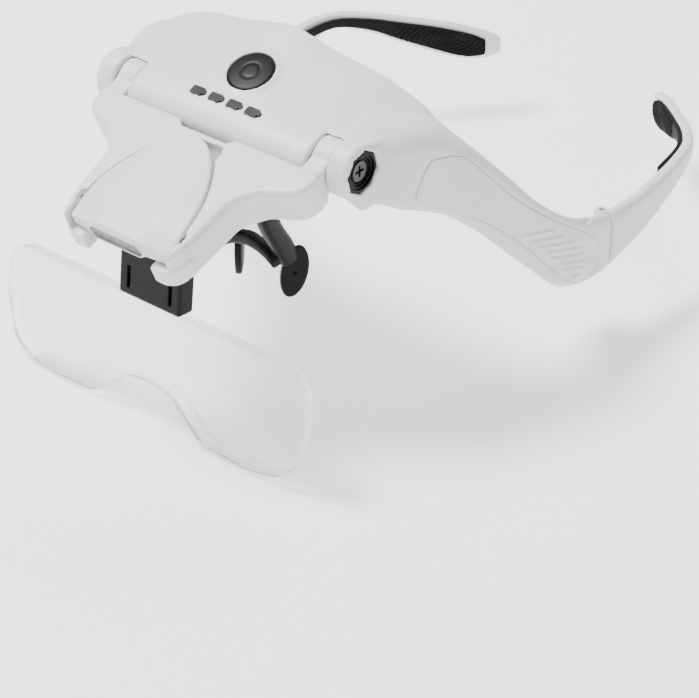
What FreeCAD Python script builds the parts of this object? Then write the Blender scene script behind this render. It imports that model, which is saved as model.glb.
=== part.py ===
"""Head visor magnifier: a brow housing with temples, and a lens bracket hinged in front.

Frame: origin on the forehead rest, +X to the wearer's left, -Y forward, +Z up.
Units are millimetres. Each sub-part is written to parts/NODE.step.
"""

import FreeCAD
import Part

import math
import os

V = FreeCAD.Vector
os.makedirs("parts", exist_ok=True)

# --- clearances -------------------------------------------------------------
GAP = 0.3                # between pieces on different bodies
SEAM = 0.05              # between pieces of one body
RUN_FIT = 0.05           # radial play of a shaft in its bore
OVER = 1.0               # how far a cutting tool runs past the face it opens
FAR = 60.0               # beyond every piece

# --- brow housing -----------------------------------------------------------
WALL = 2.0               # housing wall
BROW_HALF = 42.3         # half width of the brow, to the flat end of each lug
BROW_DEPTH = 35.5        # forehead rest to the front lip
ARM_THICK = 4.0          # side arm and temple thickness
FRONT_R = 9.4            # the brow's front is turned about the hinge axis to this radius
LID_HALF = 22.0          # screwed cover in the underside
LID_FRONT = -(BROW_DEPTH - 4.5)
LID_REAR = -8.5
LID_R = 3.0
LID_LOW = -16.0
LID_PLANE = -2.0         # posts of the housing and of the cover meet at this height
POST_R = 2.1
POST_INSET = 2.4         # post centre from the cover's edge
LID_SCREW_R = 0.75
LID_HEAD_R = 1.6
LID_HEAD = 1.1
LID_SCREW_LONG = 7.0

# --- flip hinge of the lens bracket -----------------------------------------
HINGE_Y = -(BROW_DEPTH - 9.5)
HINGE_Z = -2.0
BRACKET_PITCH = 21.8     # the bracket slopes down and forward, degrees
HUB_OUT = BROW_HALF - 0.4
HUB_IN = HUB_OUT - 5.0
HUB_R = 5.87             # across the corners of the octagon
HUB_TURN = 14.0          # turn of the octagon about the hinge axis, degrees
HUB_RING_R = 4.4         # stepped rings in the hub's face
HUB_STEP_R = 3.7
HUB_RING = 0.8
EAR_OUT = HUB_IN - 1.1
EAR_IN = EAR_OUT - 5.9
EAR_R = 6.3
BUSH_R = 2.6
HINGE_SHANK_R = 1.5
SHANK_END = EAR_IN - 3.4
SCREW_HEAD_R = 2.7
SCREW_HEAD = 1.6
SCREW_SUNK = 0.9         # screw head below the hub's face
CROSS_LONG = 3.2         # cross slot of the screw
CROSS_WIDE = 0.7
CROSS_DEEP = 0.9
SWING_R = FRONT_R + GAP  # the bracket clears the brow's front at every angle

# --- lens bracket, in its own flat frame (forward = -Y, hinge axis at 0, 0) ---
BRACKET_TOP = 5.5
BRACKET_LOW = -5.6
BRACKET_WALL = 2.2
STRIP_REAR = 7.7         # rear edge of the cross strip
SHOULDER_OUT = EAR_OUT + 0.7
ARM_END = 48.5           # forward end of the arms
PAW_START = 41.5         # each arm's thick front end
BAY_GAP = 0.45           # round the lamp, which turns in its bay
BAY_CORNER = 8.0         # square rear corners of the bay, beside the lamp's round ones
NOTCH_REAR = 9.6         # notch behind the bay, where only a thin rib crosses
NOTCH_FRONT = 7.4
NOTCH_DEEP = 10.4
CHEEK = 2.4
NECK_STEP = 0.7          # each ear's neck below the bracket's top face

# --- lamp, in the bracket's flat frame ---------------------------------------
LAMP_HALF = 16.4
ARM_OUT = LAMP_HALF + 4.1
LAMP_REAR = 12.4
LAMP_FRONT = 46.9
LAMP_LOW = 0.9
LAMP_SPLIT = 3.2         # joint between tray and cover
LAMP_TOP = 6.2
LAMP_SKIN = 1.4
PAW_TOP = LAMP_LOW - GAP
LAMP_PIVOT_Y = 39.8
LAMP_TILT = 10.0         # the lamp's rear dips by this, degrees
LAMP_PIVOT_Z = 3.2
LED_PITCH = 4.36
LED_R = 1.75
LED_Z = 3.2
LED_COUNT = 4
LED_WINDOW_R = 2.1
WINDOW_SUNK = 0.2        # clear window behind the lamp's front face
WINDOW_THICK = 0.8
REFLECTOR_DEEP = 3.6
PIN_R = 0.9
LAMP_PIN_HOLD = 2.0      # how far a lamp pin reaches into the arm
LAMP_PIN_IN = 1.8
SLIT_WIDE = 2.6          # slit over each lamp pin
SLIT_LONG = 3.8
SLIT_DEEP = 1.4

# --- lens holder and lens, in their own upright frame (pivot at 0, 0) -------------
HOLDER_FWD = 33.0        # pivot, forward of and above the flip hinge axis
HOLDER_UP = -3.6
LENS_PITCH = 7.5         # the lens leans forward at the bottom, degrees
HOLDER_HALF = 10.4
PAW_IN = HOLDER_HALF + 0.9
HOLDER_FRONT = -2.4
HOLDER_DEPTH = 5.5
HOLDER_TOP = -7.0
HOLDER_LOW = -23.2
WEB_HALF = 8.0
BARREL_R = 2.7
HOLDER_PIN_IN = 3.4
TONGUE_X = 7.1           # slits beside the springy tongue
TONGUE_SLIT = 1.1
TONGUE_LOW = -21.0
TONGUE_TOP = -14.6
SOCKET_HALF = 6.2        # the socket that takes the lens tab
SOCKET_TOP = -13.0
LENS_HALF = 52.0
LENS_TALL = 34.0
LENS_THICK = 3.6
NOTCH_HALF = 14.0        # half width of the nose notch
NOTCH_TALL = 11.2
TAB_TALL = 7.6
TAB_THICK = 2.2

# --- button, windows, electronics ------------------------------------------------
BUTTON_R = 6.3
BUTTON_Y = -(BROW_DEPTH - 16.7)
BUTTON_Z = 8.9
DECK_TILT = 22.5         # slope of the brow's top face, degrees
BUTTON_TRAVEL = 0.6
BUTTON_DOME_R = 40.0
BUTTON_FACE = 0.6
BUTTON_RISE = 0.9
BUTTON_SKIRT = 2.4
BUTTON_WALL = 1.2
STEM_R = 1.6
RING_WIDE = 1.4
RING_FLOOR = 0.4
WINDOW_COUNT = 4
WINDOW_Y = -(BROW_DEPTH - 6.7)
WINDOW_NUB = 0.8
WINDOW_DEEP = 2.6
WINDOW_PITCH = 6.1
WINDOW_WIDE = 4.4
WINDOW_LONG = 2.3
WINDOW_Z = 4.7
WINDOW_PROUD = 0.35      # top of the windows above their datum
CELL = (33.0, 14.0, 3.5)
CELL_TILT = 8.0
CELL_Y = BUTTON_Y + 1.3
CELL_TOP = -0.9
BOARD = (34.0, 15.0, 1.0)
BOARD_FWD = 1.6          # board's middle forward of the button
BOARD_DROP = -6.2        # board's top face below the button's face
SWITCH_HALF = 1.7
SWITCH_TALL = 1.6
CHIP_HALF = 0.8
CHIP_TALL = 0.9
PORT_HALF = 4.5          # charging socket, mouth down
PORT_THICK = 3.2
PORT_Y = -5.4
PORT_LOW = -4.9
PORT_TALL = 6.6
PORT_WALL = 0.35
TONGUE_HALF = 3.3
TONGUE_THICK = 0.7

# --- nose bridge and side panels ---------------------------------------------------
NOSE_HALF = 9.0
LEG_Y = HINGE_Y - 1.5    # legs at the brow
FOOT_HALF = 13.0
FOOT_DEEP = 4.4
FOOT_TOP = -8.0
FOOT_LOW = -11.8
SADDLE_Y = HINGE_Y + 3.4
SADDLE_THICK = 3.2
SADDLE_TOP = -42.5       # at the legs; the crown is arched above this
SADDLE_LOW = -45.2
SADDLE_RISE = 4.9
SADDLE_UNDER = 3.6
PAD_LONG = 14.6
PAD_HALF = 4.1
PAD_DEEP = 2.4
PAD_HOLE_R = 0.7
PAD_SPLAY = 36.0         # the pads open towards the face
PAD_LEAN = 52.0
PAD_PLACE = (NOSE_HALF + 0.6, HINGE_Y + 11.4, -49.0)
PANEL_DEEP = 0.8
PANEL_EDGE = 3.4

# --- temples ---------------------------------------------------------------------
TEMPLE_START = 49.0
TEMPLE_X = BROW_HALF + 22.8      # inner face of arm and temple at the fold
FOLD_X = TEMPLE_X - 0.3
PIN_TEMPLE_R = 0.8
KNUCKLE_R = 1.9
KNUCKLE_Z = -47.5        # foot of the housing's knuckle
KNUCKLE_TALL = 6.0
EYE_TALL = 2.4           # each of the temple's two eyes
KNUCKLE_PLAY = 0.15


# --- housing sections ----------------------------------------------------------------
# Brow stations: share of the half width, forehead side y, reach forward of BROW_DEPTH,
# height of the rear rim, of the front edge, of the rear underside and of the front underside.
BROW = [
    (0.0, 0.0, 0.0, 15.8, 3.9, -4.0, -9.0),
    (0.177, 0.0, 0.0, 14.7, 3.8, -4.0, -9.0),
    (0.355, 0.2, 0.2, 12.9, 3.7, -4.6, -9.4),
    (0.532, 0.6, 0.4, 11.7, 3.5, -5.4, -9.8),
    (0.697, 1.2, 0.6, 10.3, 3.4, -6.5, -10.4),
    (0.851, 1.8, -0.8, 7.9, 3.6, -8.4, -11.4),
    (1.0, 2.6, -0.8, 4.8, 3.3, -10.6, -12.0),
]
HOLLOW_STATIONS = 4      # the electronics fill the brow between these stations

# Arm stations: inner point x from the lug's end and y, heading of the outward normal in
# degrees, thickness, top and bottom heights.
ARM = [
    (-7.3, 1.8, -90.0, 24.0, 7.0, -11.0),
    (-1.8, 2.4, -83.0, 22.0, 5.2, -15.4),
    (0.4, 2.8, -67.0, 15.0, 3.6, -18.2),
    (2.7, 3.4, -50.0, 10.2, 1.2, -21.2),
    (6.5, 5.0, -39.0, 7.6, -2.4, -25.2),
    (10.9, 8.4, -30.0, 6.0, -7.6, -30.8),
    (14.9, 13.0, -21.0, 4.8, -14.2, -37.2),
    (18.3, 19.5, -13.0, ARM_THICK + 0.2, -22.4, -44.6),
    (20.7, 28.0, -7.0, ARM_THICK, -30.2, -53.2),
    (22.0, 36.0, -4.0, ARM_THICK, -34.8, -56.0),
    (22.7, 43.0, -1.0, ARM_THICK, -37.2, -56.8),
    (22.8, TEMPLE_START - GAP, 0.0, ARM_THICK, -38.8, -56.3),
]

# Temple stations: as the arm's, with y behind the fold.
TEMPLE = [
    (22.8, 0.0, 0.0, ARM_THICK, -38.8, -56.2),
    (23.0, 11.0, 0.0, ARM_THICK, -39.5, -53.9),
    (23.3, 23.0, 2.0, 3.8, -38.4, -49.4),
    (23.0, 34.0, 8.0, 3.4, -37.0, -44.6),
    (20.9, 43.0, 22.0, 3.2, -37.0, -42.3),
    (16.3, 50.6, 37.0, 3.0, -38.2, -44.4),
    (10.7, 57.6, 41.0, 3.0, -40.0, -48.2),
    (4.2, 64.9, 42.0, 3.0, -42.1, -52.4),
    (-2.3, 72.0, 43.0, 3.0, -44.2, -56.0),
    (-6.9, 76.8, 44.0, 2.9, -46.1, -57.4),
    (-11.1, 81.2, 45.0, 2.8, -48.2, -57.2),
    (-13.7, 84.0, 45.0, 2.4, -50.6, -55.6),
]

# Pad stations: inner point x from the lug's end, y behind the fold, heading, top, bottom.
PAD = [
    (22.3, 29.0, 5.0, -38.6, -41.6),
    (20.3, 42.0, 20.0, -38.4, -41.0),
    (14.3, 52.2, 38.0, -40.2, -43.8),
    (8.5, 59.2, 41.0, -42.2, -47.8),
    (1.6, 66.9, 42.0, -44.4, -51.9),
    (-3.9, 73.0, 43.0, -46.6, -54.9),
    (-7.7, 77.0, 44.0, -48.4, -55.9),
    (-10.5, 79.9, 45.0, -50.4, -55.2),
]
PAD_THICK = 1.6
PAD_SUNK = 1.0           # how deep the pad is let into the temple


# --- helpers -------------------------------------------------------------------------
def export(name, *solids):
    """Write one node; several solids make one group."""
    shape = solids[0] if len(solids) == 1 else Part.makeCompound(list(solids))
    shape.exportStep("parts/" + name + ".step")


def mirrored(shape):
    return shape.mirror(V(0, 0, 0), V(1, 0, 0))


def export_pair(name, shape):
    """The wearer's left piece is on +X; the right one is its mirror image."""
    export(name + "_left", shape)
    export(name + "_right", mirrored(shape))


def rod_x(radius, x0, x1, y=0.0, z=0.0):
    return Part.makeCylinder(radius, x1 - x0, V(x0, y, z), V(1, 0, 0))


def rod_y(radius, x, z, y0, y1):
    return Part.makeCylinder(radius, y1 - y0, V(x, y0, z), V(0, 1, 0))


def rod_z(radius, z0, z1, x=0.0, y=0.0):
    return Part.makeCylinder(radius, z1 - z0, V(x, y, z0))


def hinge_rod(radius, x0, x1):
    """Round the flip hinge's axis."""
    return rod_x(radius, x0, x1, HINGE_Y, HINGE_Z)


def block(x0, x1, y0, y1, z0, z1):
    return Part.makeBox(x1 - x0, y1 - y0, z1 - z0, V(x0, y0, z0))


def moved(shape, x=0.0, y=0.0, z=0.0):
    return shape.translated(V(x, y, z))


def turned_x(shape, degrees):
    copy = shape.copy()
    copy.rotate(V(0, 0, 0), V(1, 0, 0), degrees)
    return copy


def cut_both(shape, tools):
    """Cut tools given for the wearer's left, and their mirror images."""
    for tool in tools:
        shape = shape.cut(tool).cut(mirrored(tool))
    return shape


def main_solid(shape):
    """The piece itself, without slivers that tangent faces leave."""
    return max(shape.Solids, key=lambda solid: solid.Volume)


def outward(heading):
    return V(math.cos(math.radians(heading)), math.sin(math.radians(heading)), 0)


def polygon(points):
    return Part.makePolygon([V(*p) for p in points] + [V(*points[0])])


def rounded_wire(corners, z):
    """Closed outline in a level plane from (x, y, radius) corners."""
    edges, starts, ends = [], [], []
    count = len(corners)
    for i, (x, y, radius) in enumerate(corners):
        here = V(x, y, z)
        before = V(corners[i - 1][0], corners[i - 1][1], z) - here
        after = V(corners[(i + 1) % count][0], corners[(i + 1) % count][1], z) - here
        half = before.getAngle(after) / 2
        back = radius / math.tan(half)
        first = here + before.normalize() * back
        last = here + after.normalize() * back
        starts.append(first)
        ends.append(last)
        if radius > 0:
            centre = here + (before + after).normalize() * (radius / math.sin(half))
            middle = centre + (here - centre).normalize() * radius
            edges.append(Part.Arc(first, middle, last).toShape())
    lines = [Part.LineSegment(ends[i - 1], starts[i]).toShape() for i in range(count)
             if ends[i - 1].distanceToPoint(starts[i]) > 1e-6]
    return Part.Wire(Part.__sortEdges__(edges + lines))


def slab(corners, z0, z1):
    """Level slab with a rounded outline."""
    return Part.Face(rounded_wire(corners, z0)).extrude(V(0, 0, z1 - z0))


def rounded_slab(x_half, y0, y1, radius, z0, z1):
    return slab([(-x_half, y0, radius), (x_half, y0, radius),
                 (x_half, y1, radius), (-x_half, y1, radius)], z0, z1)


def both_sides(half):
    """Close a half outline, listed from the rear middle to the front middle, round X = 0."""
    return half + [(-x, y, r) for x, y, r in reversed(half)]


def place_on_bracket(shape):
    return moved(turned_x(shape, BRACKET_PITCH), 0, HINGE_Y, HINGE_Z)


def holder_pivot():
    """Pivot of the lens holder in the row's frame, as (y, z)."""
    point = place_on_bracket(Part.Vertex(0, -HOLDER_FWD, HOLDER_UP)).Point
    return point.y, point.z


def place_holder(shape):
    y, z = holder_pivot()
    return moved(turned_x(shape, -LENS_PITCH), 0, y, z)


def place_on_deck(shape, y, z):
    """Set a piece modelled about +Z on the sloping top face of the brow."""
    return moved(turned_x(shape, DECK_TILT), 0, y, z)


# --- lofted sections -----------------------------------------------------------------
def brow_points(reach, rim, lip, low_rear, low_front):
    """Outline of a brow section as (forward, up)."""
    fall = lip - low_front
    slope = low_rear - low_front
    return [
        (0.03 * reach, low_rear), (0.0, (rim + low_rear) / 2), (0.03 * reach, rim - 1.6),
        (0.10 * reach, rim), (0.35 * reach, rim - 0.32 * (rim - lip)),
        (0.62 * reach, rim - 0.66 * (rim - lip)), (0.87 * reach, lip),
        (0.985 * reach, lip - 0.28 * fall), (0.985 * reach, lip - 0.55 * fall),
        (0.91 * reach, low_front), (0.62 * reach, low_front + 0.3 * slope - 0.6),
        (0.30 * reach, low_front + 0.68 * slope - 0.5),
    ]


def shrunk(points, reach, rim, lip, low_rear, low_front):
    """The outline moved in by the wall, about the section's middle."""
    middle = 0.45 * reach
    level = (rim + low_rear + lip + low_front) / 4
    across = 1 - WALL / middle
    result = []
    for forward, up in points:
        rise = up - level
        if abs(rise) > 2 * WALL:
            rise -= math.copysign(WALL, rise)
        result.append((middle + (forward - middle) * across, level + rise))
    return result


def slab_points(thick, top, low):
    """Outline of an arm section as (outward, up): a bar with soft edges."""
    tall = top - low
    return [
        (0.0, low + 0.22 * tall), (0.0, low + 0.5 * tall), (0.0, top - 0.14 * tall),
        (0.22 * thick, top - 0.02 * tall), (0.5 * thick, top), (0.78 * thick, top - 0.03 * tall),
        (0.97 * thick, top - 0.14 * tall), (thick, low + 0.62 * tall), (thick, low + 0.38 * tall),
        (0.96 * thick, low + 0.12 * tall), (0.55 * thick, low), (0.15 * thick, low + 0.05 * tall),
    ]


def section_wire(points, x, y, heading):
    """Closed smooth curve through (outward, up) points in the plane that faces a heading."""
    out = outward(heading)
    curve = Part.BSplineCurve()
    curve.interpolate(Points=[V(x, y, 0) + out * o + V(0, 0, u) for o, u in points],
                      PeriodicFlag=True)
    return Part.Wire(curve.toShape())


def loft(wires):
    return Part.makeLoft(wires, True, False)


def brow_loft(stations, hollow=False):
    both = [(-s[0],) + s[1:] for s in reversed(stations[1:])] + stations
    wires = []
    for share, y, more, rim, lip, low_rear, low_front in both:
        sizes = (BROW_DEPTH + more, rim, lip, low_rear, low_front)
        points = brow_points(*sizes)
        if hollow:
            points = shrunk(points, *sizes)
        wires.append(section_wire(points, share * BROW_HALF, y, -90))
    return loft(wires)


def arm_loft(stations, fold=0.0):
    return loft([section_wire(slab_points(thick, top, low), BROW_HALF + x, fold + y, heading)
                 for x, y, heading, thick, top, low in stations])


def octagon(radius, x0, x1):
    corners = []
    for i in range(8):
        angle = math.radians(22.5 + HUB_TURN + 45 * i)
        corners.append((x0, HINGE_Y + radius * math.cos(angle), HINGE_Z + radius * math.sin(angle)))
    return Part.Face(polygon(corners)).extrude(V(x1 - x0, 0, 0))


# --- brow housing --------------------------------------------------------------------
def ear_room():
    """Slot in which one ear of the bracket swings from level to upright."""
    x0, x1 = EAR_IN - GAP, EAR_OUT + GAP
    front = block(x0, x1, HINGE_Y - FAR, HINGE_Y, -FAR, FAR)
    below = block(x0, x1, HINGE_Y - FAR, HINGE_Y + EAR_R + GAP, -FAR, HINGE_Z)
    return hinge_rod(EAR_R + GAP, x0, x1).fuse([front, below]).removeSplitter()


def brow_front_trim():
    front = block(-EAR_IN, EAR_IN, HINGE_Y - FAR, HINGE_Y, -FAR, FAR)
    return front.cut(hinge_rod(FRONT_R, -FAR, FAR))


def post_places():
    x = LID_HALF - POST_INSET
    return [(side * x, y) for side in (-1, 1) for y in (LID_FRONT + POST_INSET, LID_REAR - POST_INSET)]


def post_foot(y):
    """Height of the cover's underside at a screw post."""
    forward = -y / BROW_DEPTH
    return -5.0 - 4.6 * forward


def lid_screw(x, y, grow=0.0):
    low = post_foot(y) - 0.2 - grow
    head = rod_z(LID_HEAD_R + grow, low, low + LID_HEAD + grow, x, y)
    shank = rod_z(LID_SCREW_R + grow, low, low + LID_SCREW_LONG + grow, x, y)
    return head.fuse(shank)


def cover_screws():
    """Four pan-head screws with a cross slot, driven from below."""
    screws = []
    for x, y in post_places():
        low = post_foot(y) - 0.2
        screw = lid_screw(x, y)
        half = LID_HEAD_R * 0.6
        for long_x, long_y in ((half, 0.2), (0.2, half)):
            screw = screw.cut(block(x - long_x, x + long_x, y - long_y, y + long_y, low - OVER, low + 0.6))
        screws.append(screw)
    return screws


def window_shapes(grow=0.0):
    """Battery-shaped windows: a rectangle with a small terminal at one end."""
    shapes = []
    half, deep = WINDOW_WIDE / 2 + grow, WINDOW_LONG / 2 + grow
    for x in window_places():
        neck = x + half - WINDOW_NUB
        body = block(x - half, neck, -deep, deep, -WINDOW_DEEP, WINDOW_PROUD)
        nub = block(neck, x + half, -deep * 0.55, deep * 0.55, -WINDOW_DEEP, WINDOW_PROUD)
        shapes.append(place_on_deck(body.fuse(nub), WINDOW_Y, WINDOW_Z))
    return shapes


def window_places():
    return [(i - (WINDOW_COUNT - 1) / 2) * WINDOW_PITCH for i in range(WINDOW_COUNT)]


def charge_port_outline(grow, z0, z1):
    half, thick = PORT_HALF + grow, PORT_THICK / 2 + grow
    return rounded_slab(half, PORT_Y - thick, PORT_Y + thick, thick - SEAM, z0, z1)


def charge_socket():
    """Metal shell with a tongue inside; its mouth is in the underside of the brow."""
    top = PORT_LOW + PORT_TALL
    shell = charge_port_outline(0, PORT_LOW, top)
    shell = shell.cut(charge_port_outline(-PORT_WALL, PORT_LOW - OVER, top - OVER))
    tongue = block(-TONGUE_HALF, TONGUE_HALF, PORT_Y - TONGUE_THICK / 2, PORT_Y + TONGUE_THICK / 2,
                   PORT_LOW + OVER, top)
    return shell.fuse(tongue)


def knuckle(z0, z1, grow=0.0):
    """A barrel of the temple hinge on the inner face of the arm."""
    return rod_z(KNUCKLE_R + grow, z0, z1, FOLD_X, TEMPLE_START)


def knuckle_bore():
    return rod_z(PIN_TEMPLE_R + RUN_FIT, -FAR - 40, 0, FOLD_X, TEMPLE_START)


def temple_eyes():
    top = KNUCKLE_Z + KNUCKLE_TALL + KNUCKLE_PLAY
    low = KNUCKLE_Z - KNUCKLE_PLAY
    return [(low - EYE_TALL, low), (top, top + EYE_TALL)]


def temple_pin():
    (low, _), (_, top) = temple_eyes()
    return rod_z(PIN_TEMPLE_R, low, top, FOLD_X, TEMPLE_START)


def side_panel(grow=0.0):
    """Panel let into the outer face of the arm; it follows the arm's own stations."""
    wires = []
    for x, y, heading, thick, top, low in ARM[4:-1]:
        out = outward(heading)
        base = V(BROW_HALF + x, y, 0) + out * (thick - PANEL_DEEP - grow)
        deep = PANEL_DEEP + OVER
        high, foot = top - PANEL_EDGE + grow, low + PANEL_EDGE - grow
        corners = ((0, foot), (deep, foot), (deep, high), (0, high))
        wires.append(polygon([tuple(base + out * o + V(0, 0, u)) for o, u in corners]))
    return loft(wires)


def visor_pieces():
    """The brow housing, the cover screwed under it, the side panels and the button's ring."""
    arm = arm_loft(ARM)
    outer = brow_loft(BROW).fuse([arm, mirrored(arm)])
    hollow = brow_loft(BROW[:HOLLOW_STATIONS], hollow=True)
    posts = [rod_z(POST_R, LID_LOW, BROW_DEPTH, x, y).common(hollow) for x, y in post_places()]
    body = outer.cut(hollow).fuse(posts)
    body = body.cut(brow_front_trim())
    body = cut_both(body, [ear_room(), hinge_rod(HINGE_SHANK_R + SEAM, SHANK_END, HUB_IN + OVER),
                           octagon(HUB_R + SEAM, HUB_IN, FAR)])
    button_hole = rod_z(BUTTON_R + GAP, -BUTTON_R, BUTTON_R)
    body = body.cut(place_on_deck(button_hole, BUTTON_Y, BUTTON_Z))
    body = body.cut(charge_port_outline(SEAM, LID_LOW, PORT_LOW + PORT_TALL + SEAM))
    for tool in window_shapes(SEAM) + [lid_screw(x, y, SEAM) for x, y in post_places()]:
        body = body.cut(tool)

    barrel = knuckle(KNUCKLE_Z, KNUCKLE_Z + KNUCKLE_TALL)
    body = body.fuse([barrel, mirrored(barrel)])
    eyes = [knuckle(z0 - GAP, z1 + GAP, GAP) for z0, z1 in temple_eyes()]
    middle = [knuckle(KNUCKLE_Z, KNUCKLE_Z + KNUCKLE_TALL)]
    body = cut_both(body, [eye.cut(middle) for eye in eyes] + [knuckle_bore()])
    body = cut_both(body, [side_panel(SEAM)])
    panel = side_panel().common(arm)

    lid = rounded_slab(LID_HALF, LID_FRONT, LID_REAR, LID_R, LID_LOW, LID_PLANE)
    lid_room = rounded_slab(LID_HALF + SEAM, LID_FRONT - SEAM, LID_REAR + SEAM, LID_R + SEAM,
                            LID_LOW, LID_PLANE + SEAM)
    foot = bridge_foot(SEAM)
    housing = main_solid(body.cut(lid_room).cut(foot))
    return housing, main_solid(body.common(lid).cut(foot)), panel, hollow


def button_ring(hollow):
    """Collar under the deck: it guides the button and keeps it from being pulled out."""
    low = -BUTTON_SKIRT - BUTTON_TRAVEL - GAP
    collar = rod_z(BUTTON_R + GAP + RING_WIDE, low - RING_FLOOR, 0)
    collar = collar.cut(rod_z(BUTTON_R + GAP, low, OVER))
    collar = collar.cut(rod_z(BUTTON_R - BUTTON_WALL - GAP, low - RING_FLOOR - OVER, OVER))
    return place_on_deck(collar, BUTTON_Y, BUTTON_Z).common(hollow)


# --- hinge hardware ------------------------------------------------------------------
def hinge_hub():
    """Octagonal cap with stepped rings round the sunk screw head."""
    hub = octagon(HUB_R, HUB_IN + SEAM, HUB_OUT)
    hub = hub.cut(hinge_rod(HUB_RING_R, HUB_OUT - HUB_RING, HUB_OUT + OVER))
    hub = hub.fuse(hinge_rod(HUB_STEP_R, HUB_OUT - HUB_RING, HUB_OUT - HUB_RING / 2))
    seat = HUB_OUT - SCREW_HEAD - SCREW_SUNK
    hub = hub.cut(hinge_rod(SCREW_HEAD_R + SEAM, seat - SEAM, HUB_OUT + OVER))
    return hub.cut(hinge_rod(HINGE_SHANK_R + SEAM, HUB_IN - OVER, HUB_OUT))


def hinge_screw():
    """Shouldered screw: the shank is the axle of the bracket's ear."""
    seat = HUB_OUT - SCREW_HEAD - SCREW_SUNK
    face = seat + SCREW_HEAD
    screw = hinge_rod(SCREW_HEAD_R, seat, face).fuse(hinge_rod(HINGE_SHANK_R, SHANK_END, seat))
    for long_y, long_z in ((CROSS_WIDE, CROSS_LONG), (CROSS_LONG, CROSS_WIDE)):
        screw = screw.cut(block(face - CROSS_DEEP, face + OVER, HINGE_Y - long_y / 2,
                                HINGE_Y + long_y / 2, HINGE_Z - long_z / 2, HINGE_Z + long_z / 2))
    return screw


def ear_bush():
    bush = hinge_rod(BUSH_R, EAR_IN, EAR_OUT)
    return bush.cut(hinge_rod(HINGE_SHANK_R + RUN_FIT, EAR_IN - OVER, EAR_OUT + OVER))


# --- nose bridge ---------------------------------------------------------------------
def bridge_foot(grow=0.0):
    """Flange in the underside of the brow that carries both legs."""
    return block(-FOOT_HALF - grow, FOOT_HALF + grow, LEG_Y - FOOT_DEEP / 2 - grow,
                 LEG_Y + FOOT_DEEP / 2 + grow, FOOT_LOW, FOOT_TOP + grow)


def bridge_leg(side):
    """Leg that leaves the brow square, then runs in and back to the nose pad."""
    stations = [(NOSE_HALF + 0.5, LEG_Y, FOOT_LOW + 0.2, 3.6, 7.0),
                (NOSE_HALF + 0.5, LEG_Y, FOOT_TOP - 16.0, 3.6, 6.4),
                (NOSE_HALF, LEG_Y + 4.5, SADDLE_TOP + 7.5, 3.4, 6.4),
                (NOSE_HALF, LEG_Y + 8.0, SADDLE_TOP - 1.0, 3.0, 7.5),
                (NOSE_HALF + 0.5, LEG_Y + 9.7, SADDLE_TOP - 3.6, 3.0, 5.6)]
    wires = []
    for x, y, z, wide, deep in stations:
        x0, x1 = side * x - wide / 2, side * x + wide / 2
        y0, y1 = y - deep / 2, y + deep / 2
        wires.append(rounded_wire([(x0, y0, 1), (x1, y0, 1), (x1, y1, 1), (x0, y1, 1)], z))
    return loft(wires)


def nose_saddle():
    """Arch that joins the legs low down."""
    crown = Part.Arc(V(-NOSE_HALF, SADDLE_Y, SADDLE_TOP), V(0, SADDLE_Y, SADDLE_TOP + SADDLE_RISE),
                     V(NOSE_HALF, SADDLE_Y, SADDLE_TOP))
    under = Part.Arc(V(NOSE_HALF, SADDLE_Y, SADDLE_LOW), V(0, SADDLE_Y, SADDLE_LOW + SADDLE_UNDER),
                     V(-NOSE_HALF, SADDLE_Y, SADDLE_LOW))
    ends = [Part.LineSegment(V(x, SADDLE_Y, SADDLE_TOP), V(x, SADDLE_Y, SADDLE_LOW))
            for x in (-NOSE_HALF, NOSE_HALF)]
    outline = Part.Wire(Part.__sortEdges__([edge.toShape() for edge in [crown, under] + ends]))
    return Part.Face(outline).extrude(V(0, SADDLE_THICK, 0))


def nose_bridge():
    bridge = bridge_leg(-1).fuse([bridge_leg(1), nose_saddle(), bridge_foot()])
    return cut_both(bridge, [nose_pad(SEAM)])


def nose_pad(grow=0.0):
    """Oval paddle let into the foot of one leg, with a small through hole."""
    pad = rod_z(1, -PAD_DEEP / 2 - grow, PAD_DEEP / 2 + grow)
    scale = FreeCAD.Matrix()
    scale.scale(PAD_HALF + grow, PAD_LONG / 2 + grow, 1)
    pad = pad.transformGeometry(scale)
    if not grow:
        pad = pad.cut(rod_z(PAD_HOLE_R, -PAD_DEEP, PAD_DEEP))
    pad.rotate(V(0, 0, 0), V(0, 1, 0), 90)
    pad.rotate(V(0, 0, 0), V(1, 0, 0), PAD_LEAN)
    pad.rotate(V(0, 0, 0), V(0, 0, 1), -PAD_SPLAY)
    return moved(pad, *PAD_PLACE)


# --- lens bracket --------------------------------------------------------------------
def lamp_rear(grow=0.0):
    """Rear half of the lamp's shield outline, seen from above."""
    half, rear = LAMP_HALF + grow, grow - LAMP_REAR
    return [(0.2 * half, rear, 2.5), (0.57 * half, rear - 5.4, 5.0),
            (0.85 * half, rear - 14.4, 8.0), (half, rear - 24.4, 8.0)]


def lamp_bay(grow=0.0):
    """Outline of the opening round the lamp, with the rear corners left square."""
    rear = BAY_GAP + grow - LAMP_REAR
    corner = BAY_CORNER + grow
    return [(corner, rear, 0.8), (corner + 0.9, rear - 4.6, 1.0)] + lamp_rear(BAY_GAP + grow)[2:]


def bracket_outline(inset=0.0):
    return both_sides([
        (SHOULDER_OUT - inset, -STRIP_REAR, 1.5), (SHOULDER_OUT - inset, -15.4 + inset, 3.0),
        (SHOULDER_OUT - 4.9 - inset, -17.6 + inset, 4.0), (ARM_OUT + 5.5 - inset, -19.6 + inset, 4.0),
        (ARM_OUT + 0.4 - inset, -25.0 + inset * 0.3, 3.4),
        (ARM_OUT - inset, -ARM_END + inset, 5.6 - inset)])


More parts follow.
